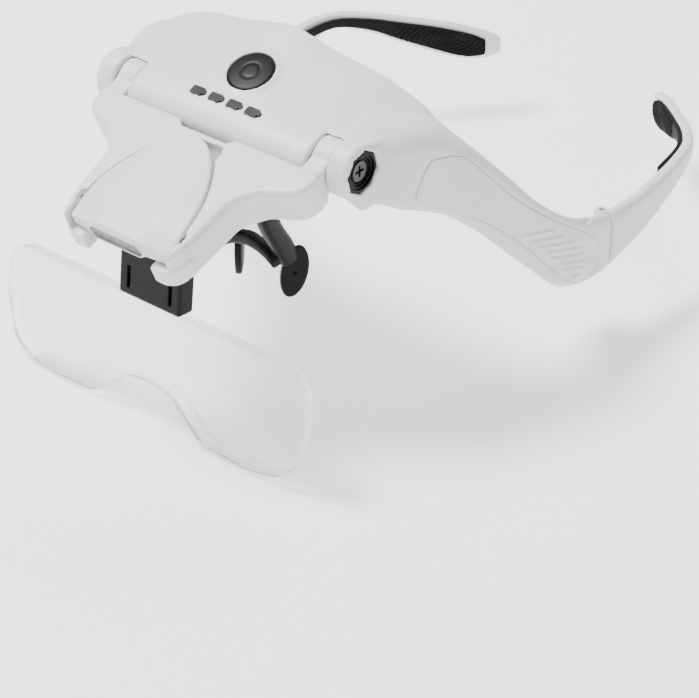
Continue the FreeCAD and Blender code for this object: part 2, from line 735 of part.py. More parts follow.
def lens_bracket():
    """Hollow shell: ears, shoulders, waist and two forward arms round the lamp."""
    shell = place_on_bracket(slab(bracket_outline(), BRACKET_LOW, BRACKET_TOP))
    inside = place_on_bracket(slab(bracket_outline(BRACKET_WALL), BRACKET_LOW - OVER,
                                   BRACKET_TOP - BRACKET_WALL))
    inside = inside.cut(hinge_rod(SWING_R + BRACKET_WALL, -FAR, FAR))
    shell = shell.cut(inside).cut(hinge_rod(SWING_R, -FAR, FAR))

    bay = slab(both_sides(lamp_bay() + [(LAMP_HALF + BAY_GAP, -FAR, 0.0)]),
               BRACKET_LOW - OVER, BRACKET_TOP + OVER)
    inner_wall = slab(both_sides(lamp_bay(BRACKET_WALL)
                                 + [(LAMP_HALF + BAY_GAP + BRACKET_WALL, 3.0 - ARM_END, 0.0)]),
                      BRACKET_LOW + OVER, BRACKET_TOP - OVER)
    notch = slab([(-NOTCH_REAR, 0, 0), (NOTCH_REAR, 0, 0), (NOTCH_REAR, -STRIP_REAR, 0),
                  (NOTCH_FRONT, -NOTCH_DEEP, 0.8), (-NOTCH_FRONT, -NOTCH_DEEP, 0.8),
                  (-NOTCH_REAR, -STRIP_REAR, 0)], BRACKET_LOW - OVER, BRACKET_TOP + OVER)
    lining = inner_wall.cut(bay).common(slab(bracket_outline(), BRACKET_LOW, BRACKET_TOP))
    lining = place_on_bracket(lining).cut(hinge_rod(SWING_R, -FAR, FAR))
    shell = shell.cut(place_on_bracket(bay)).fuse(lining).cut(place_on_bracket(notch))

    edge = ARM_OUT - 0.2
    paw = slab([(PAW_IN, -PAW_START, 0), (edge, -PAW_START, 0), (edge, -ARM_END, 5.4),
                (PAW_IN, -ARM_END, 0.8)], BRACKET_LOW + 0.9, PAW_TOP)
    cheek_top = PAW_TOP - (LAMP_PIVOT_Y - HOLDER_FWD + 4.2) * math.tan(math.radians(LAMP_TILT))
    cheek = block(PAW_IN, PAW_IN + CHEEK, -PAW_START, 4.2 - HOLDER_FWD, BRACKET_LOW, cheek_top)
    tie = block(PAW_IN + CHEEK - 0.4, ARM_OUT - 1, 1.6 - HOLDER_FWD, 3.6 - HOLDER_FWD,
                BRACKET_LOW + 1, cheek_top)
    neck = block(EAR_IN, EAR_OUT, -STRIP_REAR - 4, 0, -EAR_R * 0.55, BRACKET_TOP - NECK_STEP)
    ear = hinge_rod(EAR_R, EAR_IN, EAR_OUT).fuse(place_on_bracket(neck))
    added = [place_on_bracket(solid) for solid in (paw, cheek, tie)] + [ear]
    shell = shell.fuse(added + [mirrored(solid) for solid in added])

    lamp_pin = rod_x(PIN_R + SEAM, LAMP_HALF, LAMP_HALF + LAMP_PIN_HOLD + SEAM, -LAMP_PIVOT_Y,
                     LAMP_PIVOT_Z)
    slit = block(LAMP_HALF, LAMP_HALF + SLIT_WIDE, -LAMP_PIVOT_Y - SLIT_LONG / 2,
                 -LAMP_PIVOT_Y + SLIT_LONG / 2, BRACKET_TOP - SLIT_DEEP, BRACKET_TOP + OVER)
    shell = cut_both(shell, [hinge_rod(BUSH_R + SEAM, EAR_IN - OVER, EAR_OUT + OVER),
                             place_on_bracket(lamp_pin), place_on_bracket(slit)])
    holder_y, holder_z = holder_pivot()
    return shell.cut(rod_x(PIN_R + SEAM, -PAW_IN - CHEEK, PAW_IN + CHEEK, holder_y, holder_z))


# --- lamp ----------------------------------------------------------------------------
def lamp_window_shape(grow, y0, y1):
    """Capsule across the hood: the clear window and, grown, its opening."""
    radius = LED_WINDOW_R + grow
    reach = led_places()[-1]
    capsule = block(-reach, reach, y0, y1, LED_Z - radius, LED_Z + radius)
    return capsule.fuse([rod_y(radius, x, LED_Z, y0, y1) for x in (-reach, reach)])


def led_places():
    return [(i - (LED_COUNT - 1) / 2) * LED_PITCH for i in range(LED_COUNT)]


def lamp_pieces():
    """Shield-shaped lamp: split shell, clear window, reflector, light diodes and their board."""
    face = -LAMP_FRONT
    front = [(LAMP_HALF, face + 3.4, 2.4), (0.585 * LAMP_HALF, face, 1.6)]
    whole = slab(both_sides(lamp_rear() + front), LAMP_LOW, LAMP_TOP)
    room = slab(both_sides([(5.5, -17.5, 2), (9.5, -24.0, 3), (LAMP_HALF - 3.8, -34.0, 4),
                            (LAMP_HALF - 3.8, face + 2.0, 1)]),
                LAMP_LOW + LAMP_SKIN, LAMP_TOP - LAMP_SKIN)
    glass_back = face + WINDOW_SUNK + WINDOW_THICK
    cup_back = glass_back + REFLECTOR_DEEP
    whole = whole.cut(room).cut(lamp_window_shape(SEAM, face - OVER, cup_back))
    whole = whole.cut(rod_x(PIN_R + RUN_FIT, -FAR, FAR, -LAMP_PIVOT_Y, LAMP_PIVOT_Z))
    cover = whole.common(block(-FAR, FAR, -FAR, 0, LAMP_SPLIT, FAR))
    tray = whole.common(block(-FAR, FAR, -FAR, 0, -FAR, LAMP_SPLIT - SEAM))
    window = lamp_window_shape(0, face + WINDOW_SUNK, glass_back)
    reflector = lamp_window_shape(0, glass_back + SEAM, cup_back)
    leds = []
    for x in led_places():
        middle = cup_back - LED_R
        reflector = reflector.cut(rod_y(LED_R + SEAM, x, LED_Z, face, cup_back + OVER))
        leds.append(Part.makeSphere(LED_R, V(x, middle, LED_Z)).fuse(
            rod_y(LED_R, x, LED_Z, middle, cup_back)))
    board = block(-9.5, 9.5, cup_back + SEAM, cup_back + 1.0, LAMP_LOW + LAMP_SKIN + SEAM,
                  LAMP_TOP - LAMP_SKIN - SEAM)
    parts = {"lamp_cover": [cover], "lamp_tray": [tray], "lamp_window": [window],
             "lamp_reflector": [reflector], "lamp_leds": leds, "lamp_board": [board]}
    return {name: [place_on_bracket(s) for s in solids] for name, solids in parts.items()}


def lamp_pins():
    pin = place_on_bracket(rod_x(PIN_R, LAMP_HALF - LAMP_PIN_IN, LAMP_HALF + LAMP_PIN_HOLD,
                                 -LAMP_PIVOT_Y, LAMP_PIVOT_Z))
    return pin, mirrored(pin)


# --- lens holder and lens ------------------------------------------------------------
def tab_middle():
    return HOLDER_FRONT + HOLDER_DEPTH / 2


def lens_holder():
    """Box with a springy front tongue between two slits, hung from a barrel."""
    back = HOLDER_FRONT + HOLDER_DEPTH
    body = block(-HOLDER_HALF, HOLDER_HALF, HOLDER_FRONT, back, HOLDER_LOW, HOLDER_TOP)
    web = block(-WEB_HALF, WEB_HALF, -1.6, 1.8, HOLDER_TOP - 0.5, 0)
    body = body.fuse([web, rod_x(BARREL_R, -HOLDER_HALF, HOLDER_HALF)])
    body = body.cut(rod_x(PIN_R + RUN_FIT, -FAR, FAR))
    slot = TAB_THICK / 2 + GAP
    body = body.cut(block(-SOCKET_HALF, SOCKET_HALF, tab_middle() - slot, tab_middle() + slot,
                          HOLDER_LOW - OVER, SOCKET_TOP))
    slit = block(TONGUE_X - TONGUE_SLIT / 2, TONGUE_X + TONGUE_SLIT / 2, HOLDER_FRONT - OVER,
                 back + OVER, TONGUE_LOW, TONGUE_TOP)
    return place_holder(cut_both(body, [slit]))


def holder_pins():
    y, z = holder_pivot()
    pin = rod_x(PIN_R, HOLDER_HALF - HOLDER_PIN_IN, PAW_IN + CHEEK - SEAM, y, z)
    return pin, mirrored(pin)


def magnifier_lens():
    """Clear slab with a nose notch and a slotted tab that plugs into the holder."""
    top = HOLDER_LOW - GAP
    low = top - LENS_TALL
    half = [
        (LENS_HALF - 1.2, top, 8.0), (LENS_HALF + 0.4, top - 0.44 * LENS_TALL, 14.0),
        (LENS_HALF - 3.2, low + 2.0, 11.0), (LENS_HALF - 18.0, low - 0.4, 10.0),
        (NOTCH_HALF + 4.8, low + 0.2, 8.0), (NOTCH_HALF - 5.8, low + NOTCH_TALL - 1.8, 3.4),
        (0.0, low + NOTCH_TALL + 0.6, 24.0)]
    corners = half + [(-x, z, r) for x, z, r in reversed(half[:-1])]
    sheet = turned_x(slab(corners, 0, LENS_THICK), 90)
    sheet = moved(sheet, 0, tab_middle() + LENS_THICK / 2, 0)
    tab = block(-SOCKET_HALF + GAP, SOCKET_HALF - GAP, tab_middle() - TAB_THICK / 2,
                tab_middle() + TAB_THICK / 2, top - OVER, top + TAB_TALL)
    tab = tab.cut(block(-3.4, 3.4, -LENS_THICK * 3, LENS_THICK * 3, top + 2.6, top + 5.2))
    return place_holder(sheet.fuse(tab))


# --- button and electronics ----------------------------------------------------------
def power_button():
    """Shallow domed cap with a skirt and a stem that reaches down to the switch."""
    cap = rod_z(BUTTON_R, -BUTTON_WALL, BUTTON_FACE)
    cap = cap.common(Part.makeSphere(BUTTON_DOME_R, V(0, 0, BUTTON_RISE - BUTTON_DOME_R)))
    stem = rod_z(STEM_R, BOARD_DROP + SWITCH_TALL + BUTTON_TRAVEL + 2 * SEAM, 0)
    skirt = rod_z(BUTTON_R, -BUTTON_SKIRT, -BUTTON_WALL + SEAM).cut(
        rod_z(BUTTON_R - BUTTON_WALL, -BUTTON_SKIRT - OVER, 0))
    return place_on_deck(cap.fuse([stem, skirt]), BUTTON_Y, BUTTON_Z)


def electronics():
    """Board with the button's switch and a light chip under each window, and the cell."""
    wide, deep, thick = BOARD
    board = block(-wide / 2, wide / 2, -deep / 2 - BOARD_FWD, deep / 2 - BOARD_FWD,
                  BOARD_DROP - thick, BOARD_DROP)
    top = BOARD_DROP + SEAM
    switch = block(-SWITCH_HALF, SWITCH_HALF, -SWITCH_HALF, SWITCH_HALF, top, BOARD_DROP + SWITCH_TALL)
    chip_y = CHIP_HALF * 1.5 - deep / 2 - BOARD_FWD
    chips = [block(x - CHIP_HALF, x + CHIP_HALF, chip_y - CHIP_HALF, chip_y + CHIP_HALF, top,
                   BOARD_DROP + CHIP_TALL) for x in window_places()]
    wide, deep, thick = CELL
    cell = turned_x(block(-wide / 2, wide / 2, -deep / 2, deep / 2, -thick, 0), CELL_TILT)
    placed = [place_on_deck(shape, BUTTON_Y, BUTTON_Z) for shape in [board, switch] + chips]
    return placed[0], placed[1], placed[2:], moved(cell, 0, CELL_Y, CELL_TOP)


# --- temples -------------------------------------------------------------------------
def pad_loft(grow=0.0):
    wires = []
    for x, y, heading, top, low in PAD:
        base = V(BROW_HALF + x, TEMPLE_START + y, 0) + outward(heading) * (PAD_SUNK - PAD_THICK)
        wires.append(section_wire(slab_points(PAD_THICK + grow, top + grow, low - grow),
                                  base.x, base.y, heading))
    return loft(wires)


def temple():
    """Bar that runs back from the fold and curls in behind the head, with its pad."""
    bar = arm_loft(TEMPLE, TEMPLE_START)
    bar = bar.cut(pad_loft(SEAM))
    eyes = [knuckle(z0, z1) for z0, z1 in temple_eyes()]
    room = knuckle(KNUCKLE_Z - KNUCKLE_PLAY, KNUCKLE_Z + KNUCKLE_TALL + KNUCKLE_PLAY, GAP)
    bar = bar.cut(room).fuse(eyes)
    return bar.cut(knuckle_bore()), pad_loft()


def main():
    housing, cover, panel, hollow = visor_pieces()
    export("visor_housing", housing)
    export("housing_cover", cover)
    export("cover_screws", *cover_screws())
    export_pair("side_panel", panel)
    export("charge_windows", *window_shapes())
    export("charge_socket", charge_socket())
    export_pair("hinge_hub", hinge_hub())
    export_pair("hinge_screw", hinge_screw())
    export_pair("ear_bush", ear_bush())
    export("nose_bridge", nose_bridge())
    export_pair("nose_pad", nose_pad())
    export("lens_bracket", lens_bracket())
    for name, solids in lamp_pieces().items():
        export(name, *solids)
    export("lamp_pins", *lamp_pins())
    export("lens_holder", lens_holder())
    export("holder_pins", *holder_pins())
    export("magnifier_lens", magnifier_lens())
    export("power_button", power_button())
    export("button_ring", button_ring(hollow))
    board, switch, chips, cell = electronics()
    export("circuit_board", board)
    export("tactile_switch", switch)
    export("indicator_leds", *chips)
    export("battery_cell", cell)
    bar, pad = temple()
    export_pair("temple", bar)
    export_pair("temple_pad", pad)
    export_pair("temple_pin", temple_pin())


main()
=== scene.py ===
"""Head visor magnifier: a white brow housing with folding temples, a hinged bracket with
a lamp, and a clear lens plate in a black holder.

It is laid out as an add-on and runs as a script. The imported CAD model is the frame: every
new piece is modelled in millimetres in the frame's own axes, and set down in metres.
"""

import math

import bmesh
import bpy
from bpy.props import FloatProperty, FloatVectorProperty, IntProperty, PointerProperty
from mathutils import Matrix, Vector


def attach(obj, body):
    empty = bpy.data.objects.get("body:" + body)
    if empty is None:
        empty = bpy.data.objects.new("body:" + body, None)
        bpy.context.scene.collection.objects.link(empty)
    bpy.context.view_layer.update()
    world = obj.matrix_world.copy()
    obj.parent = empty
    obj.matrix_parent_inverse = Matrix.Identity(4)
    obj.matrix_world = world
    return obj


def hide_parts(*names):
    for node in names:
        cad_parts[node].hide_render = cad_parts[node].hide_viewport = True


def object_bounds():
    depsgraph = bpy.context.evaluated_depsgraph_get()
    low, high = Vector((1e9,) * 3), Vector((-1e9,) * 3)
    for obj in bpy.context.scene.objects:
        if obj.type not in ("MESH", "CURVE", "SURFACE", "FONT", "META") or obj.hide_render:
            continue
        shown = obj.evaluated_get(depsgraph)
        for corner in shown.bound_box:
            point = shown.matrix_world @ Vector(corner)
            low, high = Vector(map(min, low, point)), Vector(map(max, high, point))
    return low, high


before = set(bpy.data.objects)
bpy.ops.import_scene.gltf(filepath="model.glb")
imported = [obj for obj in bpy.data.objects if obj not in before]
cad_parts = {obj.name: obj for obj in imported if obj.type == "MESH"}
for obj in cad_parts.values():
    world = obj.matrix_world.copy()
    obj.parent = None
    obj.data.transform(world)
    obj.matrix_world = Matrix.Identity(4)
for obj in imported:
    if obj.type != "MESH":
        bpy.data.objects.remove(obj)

bl_info = {
    "name": "Head visor magnifier",
    "version": (1, 0, 0),
    "blender": (4, 5, 0),
    "location": "View3D > Sidebar > Visor",
    "description": "Builds the visor's housing, bracket, lamp, lens and temples",
    "category": "Add Mesh",
}

MM = 0.001
FAR = 60.0               # beyond every piece, in millimetres
CAD_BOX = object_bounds()

# Every number below is in millimetres or degrees unless its comment says otherwise.
# Hinge axis of the bracket, and the flat frame that the bracket and lamp are modelled in.
HINGE = (0.0, -26.0, -2.0)
PITCH = math.radians(21.8)
FLAT = Matrix.Translation(HINGE) @ Matrix.Rotation(PITCH, 4, "X")
# Upright frame of the lens holder, at its pivot.
PIVOT = FLAT @ Vector((0, -33.0, -3.6))
LEAN = math.radians(7.5)
UPRIGHT = Matrix.Translation(PIVOT) @ Matrix.Rotation(-LEAN, 4, "X")

# Brow: share of the half width, forehead side y, extra reach, heights of the rear rim,
# front edge, rear underside and front underside.
BROW = [
    (0.0, 0.0, 0.0, 15.8, 3.9, -4.0, -9.0),
    (0.177, 0.0, 0.0, 14.7, 3.8, -4.0, -9.0),
    (0.355, 0.2, 0.2, 12.9, 3.7, -4.6, -9.4),
    (0.532, 0.6, 0.4, 11.7, 3.5, -5.4, -9.8),
    (0.697, 1.2, 0.6, 10.3, 3.4, -6.5, -10.4),
    (0.851, 1.8, -0.8, 7.9, 3.6, -8.4, -11.4),
    (1.0, 2.6, -0.8, 4.8, 3.3, -18.4, -12.6),
]
# Arm: inner point x from the lug's end and y, heading of its face, thickness, top, bottom.
ARM = [
    (-7.3, 1.8, -90.0, 24.0, 7.0, -12.6),
    (-1.8, 2.4, -83.0, 22.0, 5.2, -17.4),
    (0.4, 2.8, -67.0, 15.0, 3.6, -20.6),
    (2.7, 3.4, -50.0, 10.2, 1.2, -23.0),
    (6.5, 5.0, -39.0, 7.6, -2.4, -26.2),
    (10.9, 8.4, -30.0, 6.0, -7.6, -30.8),
    (14.9, 13.0, -21.0, 4.8, -14.2, -37.2),
    (18.3, 19.5, -13.0, 4.2, -22.4, -44.6),
    (20.7, 28.0, -7.0, 4.0, -30.2, -53.2),
    (22.0, 36.0, -4.0, 4.0, -34.8, -56.0),
    (22.7, 43.0, -1.0, 4.0, -37.2, -56.8),
    (22.8, 48.7, 0.0, 4.0, -38.8, -56.3),
]
# Temple: as the arm, with y behind the fold.
TEMPLE = [
    (22.8, 0.0, 0.0, 4.0, -38.8, -56.2),
    (23.0, 11.0, 0.0, 4.0, -39.5, -53.9),
    (23.3, 23.0, 2.0, 3.8, -38.4, -49.4),
    (23.0, 34.0, 8.0, 3.4, -37.0, -44.6),
    (20.9, 43.0, 22.0, 3.2, -37.0, -42.3),
    (16.3, 50.6, 37.0, 3.0, -38.2, -44.4),
    (10.7, 57.6, 41.0, 3.0, -40.0, -48.2),
    (4.2, 64.9, 42.0, 3.0, -42.1, -52.4),
    (-2.3, 72.0, 43.0, 3.0, -44.2, -56.0),
    (-6.9, 76.8, 44.0, 2.9, -46.1, -57.4),
    (-11.1, 81.2, 45.0, 2.8, -48.2, -57.2),
    (-13.7, 84.0, 45.0, 2.4, -50.6, -55.6),
]
# Fold hinge of the temple: x from the lug's end, y, knuckle radius, pin bore.
FOLD_OUT, FOLD_Y, KNUCKLE_R, FOLD_BORE_R = 22.5, 49.0, 1.9, 0.85
KNUCKLE_ROOM_R = KNUCKLE_R + 0.3
# Rubber pad: inner point x from the lug's end, y behind the fold, heading, top, bottom.
PAD = [
    (22.3, 29.0, 5.0, -38.6, -41.6),
    (20.3, 42.0, 20.0, -38.4, -41.0),
    (14.3, 52.2, 38.0, -40.2, -43.8),
    (8.5, 59.2, 41.0, -42.2, -47.8),
    (1.6, 66.9, 42.0, -44.4, -51.9),
    (-3.9, 73.0, 43.0, -46.6, -54.9),
    (-7.7, 77.0, 44.0, -48.4, -55.9),
    (-10.5, 79.9, 45.0, -50.4, -55.2),
]
# Outline of the panel in the arm, and its grip ribs, as (y, z) seen from the side.
PANEL = [
    (-9.7, -4.6), (-7.0, -3.8), (-1.0, -5.0), (4.1, -10.9), (13.4, -21.5), (24.9, -30.9),
    (36.0, -38.8), (41.4, -43.6), (43.0, -48.4), (41.2, -52.6), (37.4, -54.0), (32.9, -53.2),
    (29.0, -50.4), (22.2, -43.2), (13.7, -33.6), (7.8, -28.0), (2.1, -23.4), (-6.0, -19.0),
    (-11.6, -15.0), (-12.9, -12.2),
]
RIBS = [
    (14.4, -31.7, 23.6, -33.2), (17.2, -34.5, 27.7, -36.7), (19.5, -36.9, 32.3, -40.1),
    (21.9, -39.5, 35.0, -43.1), (24.1, -42.1, 36.0, -45.7), (26.9, -45.0, 36.3, -47.9),
    (29.1, -47.7, 36.3, -50.0), (32.4, -51.2, 34.9, -51.8),
]
# Crease of the lamp's hood, as (x, forward) in the flat frame.
CREASE = [
    (3.4, 11.0), (5.4, 16.1), (5.3, 23.1), (7.2, 30.6), (7.8, 35.6), (6.0, 40.4), (5.0, 44.6),
    (4.7, 49.0),
]


# --- sizes and colours -----------------------------------------------------------------
def length(name, description, default):
    """A length shown in the scene's units; default in millimetres."""
    return FloatProperty(name=name, description=description, default=default * MM,
                         min=0.0, unit="LENGTH", precision=5)


def colour(name, description, default):
    return FloatVectorProperty(name=name, description=description, default=default,
                               size=3, min=0.0, max=1.0, subtype="COLOR")


class VisorHousingSizes(bpy.types.PropertyGroup):
    """Sizes of the brow housing."""

    half_width: length("Half width", "Half width of the brow, to the end of each lug", 42.3)
    depth: length("Depth", "Forehead rest to front lip", 35.5)
    wall: length("Wall", "Wall of the housing", 2.0)
    voxel: length("Detail", "Size of the smallest detail in the moulding", 0.38)
    panel_deep: length("Panel depth", "How deep each side panel is let in", 0.8)
    button_radius: length("Button radius", "Radius of the power button", 6.3)
    windows: IntProperty(name="Windows", description="Charge windows in the deck", default=4,
                         min=1, max=6)


class VisorBracketSizes(bpy.types.PropertyGroup):
    """Sizes of the bracket and lamp, in the bracket's flat frame."""

    top: length("Top", "Top face above the hinge axis", 5.5)
    low: length("Skirt", "Lower rim below the hinge axis", 5.6)
    arm_end: length("Arm end", "Forward end of the arms", 48.5)
    round_edge: length("Edge", "Radius of the top edges", 3.0)
    voxel: length("Detail", "Size of the smallest detail in the moulding", 0.36)
    lamp_half: length("Lamp half width", "Half width of the lamp", 16.4)
    lamp_top: length("Lamp top", "Crown of the lamp above the hinge axis", 6.8)


class VisorLensSizes(bpy.types.PropertyGroup):
    """Sizes of the lens plate and its holder."""

    half_width: length("Half width", "Half width of the lens plate", 52.0)
    tall: length("Height", "Height of the lens plate", 34.0)
    thick: length("Thickness", "Thickness of the lens plate", 3.6)
    edge: length("Polished edge", "Width of the plate's polished bevel", 0.55)
    holder_half: length("Holder half width", "Half width of the holder", 10.4)


class VisorFinish(bpy.types.PropertyGroup):
    """Colours of the visor's finishes."""

    shell: colour("Shell", "Satin white plastic", (0.72, 0.72, 0.725))
    black: colour("Black plastic", "Charcoal plastic of the holder, button and hubs",
                  (0.004, 0.004, 0.0043))
    rubber: colour("Rubber", "Soft pads of the temples", (0.004, 0.004, 0.0043))
    lens: colour("Lens", "Clear acrylic", (0.985, 0.988, 1.0))
    smoke: colour("Windows", "Smoked charge windows", (0.03, 0.03, 0.032))
    floor: colour("Floor", "Pale floor", (0.93, 0.93, 0.93))


SETTINGS = {
    "visor_housing_sizes": VisorHousingSizes,
    "visor_bracket_sizes": VisorBracketSizes,
    "visor_lens_sizes": VisorLensSizes,
    "visor_finish": VisorFinish,
}


# --- modelling by operators ------------------------------------------------------------
def deselect():
    if bpy.context.mode != "OBJECT":
        bpy.ops.object.mode_set(mode="OBJECT")
    bpy.ops.object.select_all(action="DESELECT")


def pick(*pieces):
    """Select these pieces alone; the first is the active one."""
    deselect()
    for piece in pieces:
        piece.select_set(True)
    bpy.context.view_layer.objects.active = pieces[0]


def named(name):
    piece = bpy.context.object
    piece.name = name
    return piece


def apply(piece, kind, **settings):
    pick(piece)
    modifier = piece.modifiers.new(kind, kind)
    for key, value in settings.items():
        setattr(modifier, key, value)
    bpy.ops.object.modifier_apply(modifier=modifier.name)
    return piece


def applied_place(piece):
    pick(piece)
    bpy.ops.object.transform_apply(location=True, rotation=True, scale=True)
    return piece


def placed(piece, matrix):
    """Move a piece's mesh by a matrix."""
    piece.matrix_world = matrix
    return applied_place(piece)


def joined(*pieces):
    pick(*pieces)
    bpy.ops.object.join()
    return pieces[0]


def remove(piece):
    bpy.data.objects.remove(piece, do_unlink=True)


def combined(piece, operation, tools):
    for tool in tools:
        apply(piece, "BOOLEAN", operation=operation, object=tool, solver="EXACT")
        remove(tool)
    return piece


def cut(piece, *tools):
    return combined(piece, "DIFFERENCE", tools)


def kept_inside(piece, tool):
    return combined(piece, "INTERSECT", [tool])


def copied(piece, name):
    """A copy with its own mesh."""
    pick(piece)
    bpy.ops.object.duplicate(linked=False)
    return named(name)


def mirrored(piece, name):
    """A copy for the wearer's right, with its faces turned outwards again."""
    twin = copied(piece, name)
    placed(twin, Matrix.Scale(-1, 4, (1, 0, 0)))
    outward_faces(twin)
    return twin


def both(piece):
    """A tool and its mirror image."""
    return piece, mirrored(piece, piece.name + "_twin")


def edit_all():
    """Enter edit mode on the active piece with all of it selected."""
    bpy.ops.object.mode_set(mode="EDIT")
    bpy.ops.mesh.select_all(action="SELECT")


def face_out():
    """Turn every face outwards and leave edit mode."""
    bpy.ops.mesh.select_all(action="SELECT")
    bpy.ops.mesh.normals_make_consistent(inside=False)
    bpy.ops.object.mode_set(mode="OBJECT")


def outward_faces(piece):
    pick(piece)
    edit_all()
    face_out()


def remeshed(piece, voxel, passes):
    """Melt the parts of a piece into one skin and ease its edges."""
    apply(piece, "REMESH", mode="VOXEL", voxel_size=voxel, use_smooth_shade=True)
    return apply(piece, "SMOOTH", factor=0.5, iterations=passes)


def thinned(piece, triangles):
    """Thin a piece that has more triangles than this."""
    count = sum(len(face.vertices) - 2 for face in piece.data.polygons)
    if count > triangles:
        apply(piece, "DECIMATE", ratio=triangles / count)
    return piece


def rounded_edges(piece, width, segments=3, angle=30.0):
    return apply(piece, "BEVEL", width=width, segments=segments, limit_method="ANGLE",
                 angle_limit=math.radians(angle), harden_normals=False)


def block(name, x0, x1, y0, y1, z0, z1):
    deselect()
    bpy.ops.mesh.primitive_cube_add(
        size=1, location=((x0 + x1) / 2, (y0 + y1) / 2, (z0 + z1) / 2),
        scale=(x1 - x0, y1 - y0, z1 - z0))
    return applied_place(named(name))


def rod(name, radius, start, end, sides=64):
    start, end = Vector(start), Vector(end)
    deselect()
    bpy.ops.mesh.primitive_cylinder_add(
        vertices=sides, radius=radius, depth=(end - start).length, location=(start + end) / 2,
        rotation=(end - start).to_track_quat("Z", "Y").to_euler())
    return applied_place(named(name))


def rod_x(name, radius, x0, x1, y=0.0, z=0.0, sides=64):
    return rod(name, radius, (x0, y, z), (x1, y, z), sides)


def upright_rod(name, radius, x, y, z0, z1, sides=64):
    return rod(name, radius, (x, y, z0), (x, y, z1), sides)


def hinge_rod(name, radius, x0, x1):
    """Rod on the bracket's hinge axis."""
    return rod_x(name, radius, x0, x1, HINGE[1], HINGE[2], 96)


def set_points(piece, points):
    for vertex, point in zip(piece.data.vertices, points):
        vertex.co = point


def prism(name, outline, way):
    """A face on an outline of 3-D points, extruded."""
    deselect()
    bpy.ops.mesh.primitive_circle_add(vertices=len(outline), fill_type="NGON")
    piece = named(name)
    set_points(piece, outline)
    edit_all()
    bpy.ops.mesh.extrude_region_move(TRANSFORM_OT_translate={"value": tuple(way)})
    face_out()
    return piece


def rounded_outline(corners, steps=6):
    """Points of a closed outline from (x, y, radius) corners."""
    points = []
    for i, (x, y, radius) in enumerate(corners):
        here = Vector((x, y))
        before = (Vector(corners[i - 1][:2]) - here).normalized()
        after = (Vector(corners[(i + 1) % len(corners)][:2]) - here).normalized()
        if radius <= 0:
            points.append(here)
            continue
        half = before.angle(after) / 2
        centre = here + (before + after).normalized() * (radius / math.sin(half))
        first = here + before * (radius / math.tan(half)) - centre
        turn = first.angle_signed(here + after * (radius / math.tan(half)) - centre)
        for step in range(steps + 1):
            points.append(centre + Matrix.Rotation(-turn * step / steps, 2) @ first)
    return points


def level_prism(name, outline, z0, z1):
    return prism(name, [(x, y, z0) for x, y in outline], (0, 0, z1 - z0))


def slab(name, corners, z0, z1):
    """Level prism on an outline of (x, y, radius) corners."""
    return level_prism(name, rounded_outline(corners), z0, z1)


def both_sides(half):
    """Close a half outline, listed from the rear middle to the front middle."""
    return half + [(-x, y, r) for x, y, r in reversed(half)]


def loft(name, rings):
    """A ring extruded through its sections, with both ends filled."""
    deselect()
    count = len(rings[0])
    bpy.ops.mesh.primitive_circle_add(vertices=count)
    piece = named(name)
    set_points(piece, rings[0])
    edit_all()
    row = list(range(count))
    for ring in rings[1:]:
        bpy.ops.mesh.extrude_region_move()
        mesh = bmesh.from_edit_mesh(piece.data)
        mesh.verts.index_update()
        mesh.verts.ensure_lookup_table()
        ahead = []
        for index in row:
            corner = mesh.verts[index]
            ends = [edge.other_vert(corner) for edge in corner.link_edges]
            ahead.append(next(end.index for end in ends if end.select))
        for index, point in zip(ahead, ring):
            mesh.verts[index].co = point
        row = ahead
    bpy.ops.mesh.edge_face_add()
    bpy.ops.mesh.select_all(action="DESELECT")
    mesh = bmesh.from_edit_mesh(piece.data)
    for edge in mesh.edges:
        edge.select_set(edge.is_boundary)
    bmesh.update_edit_mesh(piece.data)
    bpy.ops.mesh.edge_face_add()
    face_out()
    return piece


def turned(name, profile, steps=72):
    """A closed (radius, height) profile spun round +Z."""
    deselect()
    bpy.ops.mesh.primitive_circle_add(vertices=len(profile))
    piece = named(name)
    set_points(piece, [(radius, 0, height) for radius, height in profile])
    edit_all()
    bpy.ops.mesh.spin(steps=steps, angle=2 * math.pi, center=(0, 0, 0), axis=(0, 0, 1))
    bpy.ops.mesh.select_all(action="SELECT")
    bpy.ops.mesh.remove_doubles(threshold=0.0005)
    bpy.ops.mesh.delete_loose()
    face_out()
    return piece


def tube(name, points, radius):
    """A ten-sided bar with blunt ends along a short path."""
    points = [Vector(point) for point in points]
    start, end = points[0], points[-1]
    first, last = (points[1] - start).normalized(), (end - points[-2]).normalized()
    path = [(start - first * radius * 0.9, 0.35), (start - first * radius * 0.6, 0.8)]
    path += [(point, 1.0) for point in points]
    path += [(end + last * radius * 0.6, 0.8), (end + last * radius * 0.9, 0.35)]
    rings = []
    for i, (point, size) in enumerate(path):
        along = (path[min(i + 1, len(path) - 1)][0] - path[max(i - 1, 0)][0]).normalized()
        across = along.cross(Vector((0.3, 0.1, 1.0))).normalized()
        up = across.cross(along)
        rings.append([point + (across * math.cos(turn) + up * math.sin(turn)) * radius * size
                      for turn in turns(10)])
    return loft(name, rings)


def turns(count):
    """Angles of the corners of a ring."""
    return [2 * math.pi * k / count for k in range(count)]


def soft_ring(count, softness, wide, deep):
    """Points of a rounded rectangle about the origin; the softness of an ellipse is 1."""
    return [(math.copysign(abs(math.cos(turn)) ** softness, math.cos(turn)) * wide / 2,
             math.copysign(abs(math.sin(turn)) ** softness, math.sin(turn)) * deep / 2)
            for turn in turns(count)]


def between(a, b, c, d, t):
    """Smooth value between b and c."""
    return 0.5 * (2 * b + (c - a) * t + (2 * a - 5 * b + 4 * c - d) * t * t
                  + (3 * b - a - 3 * c + d) * t ** 3)


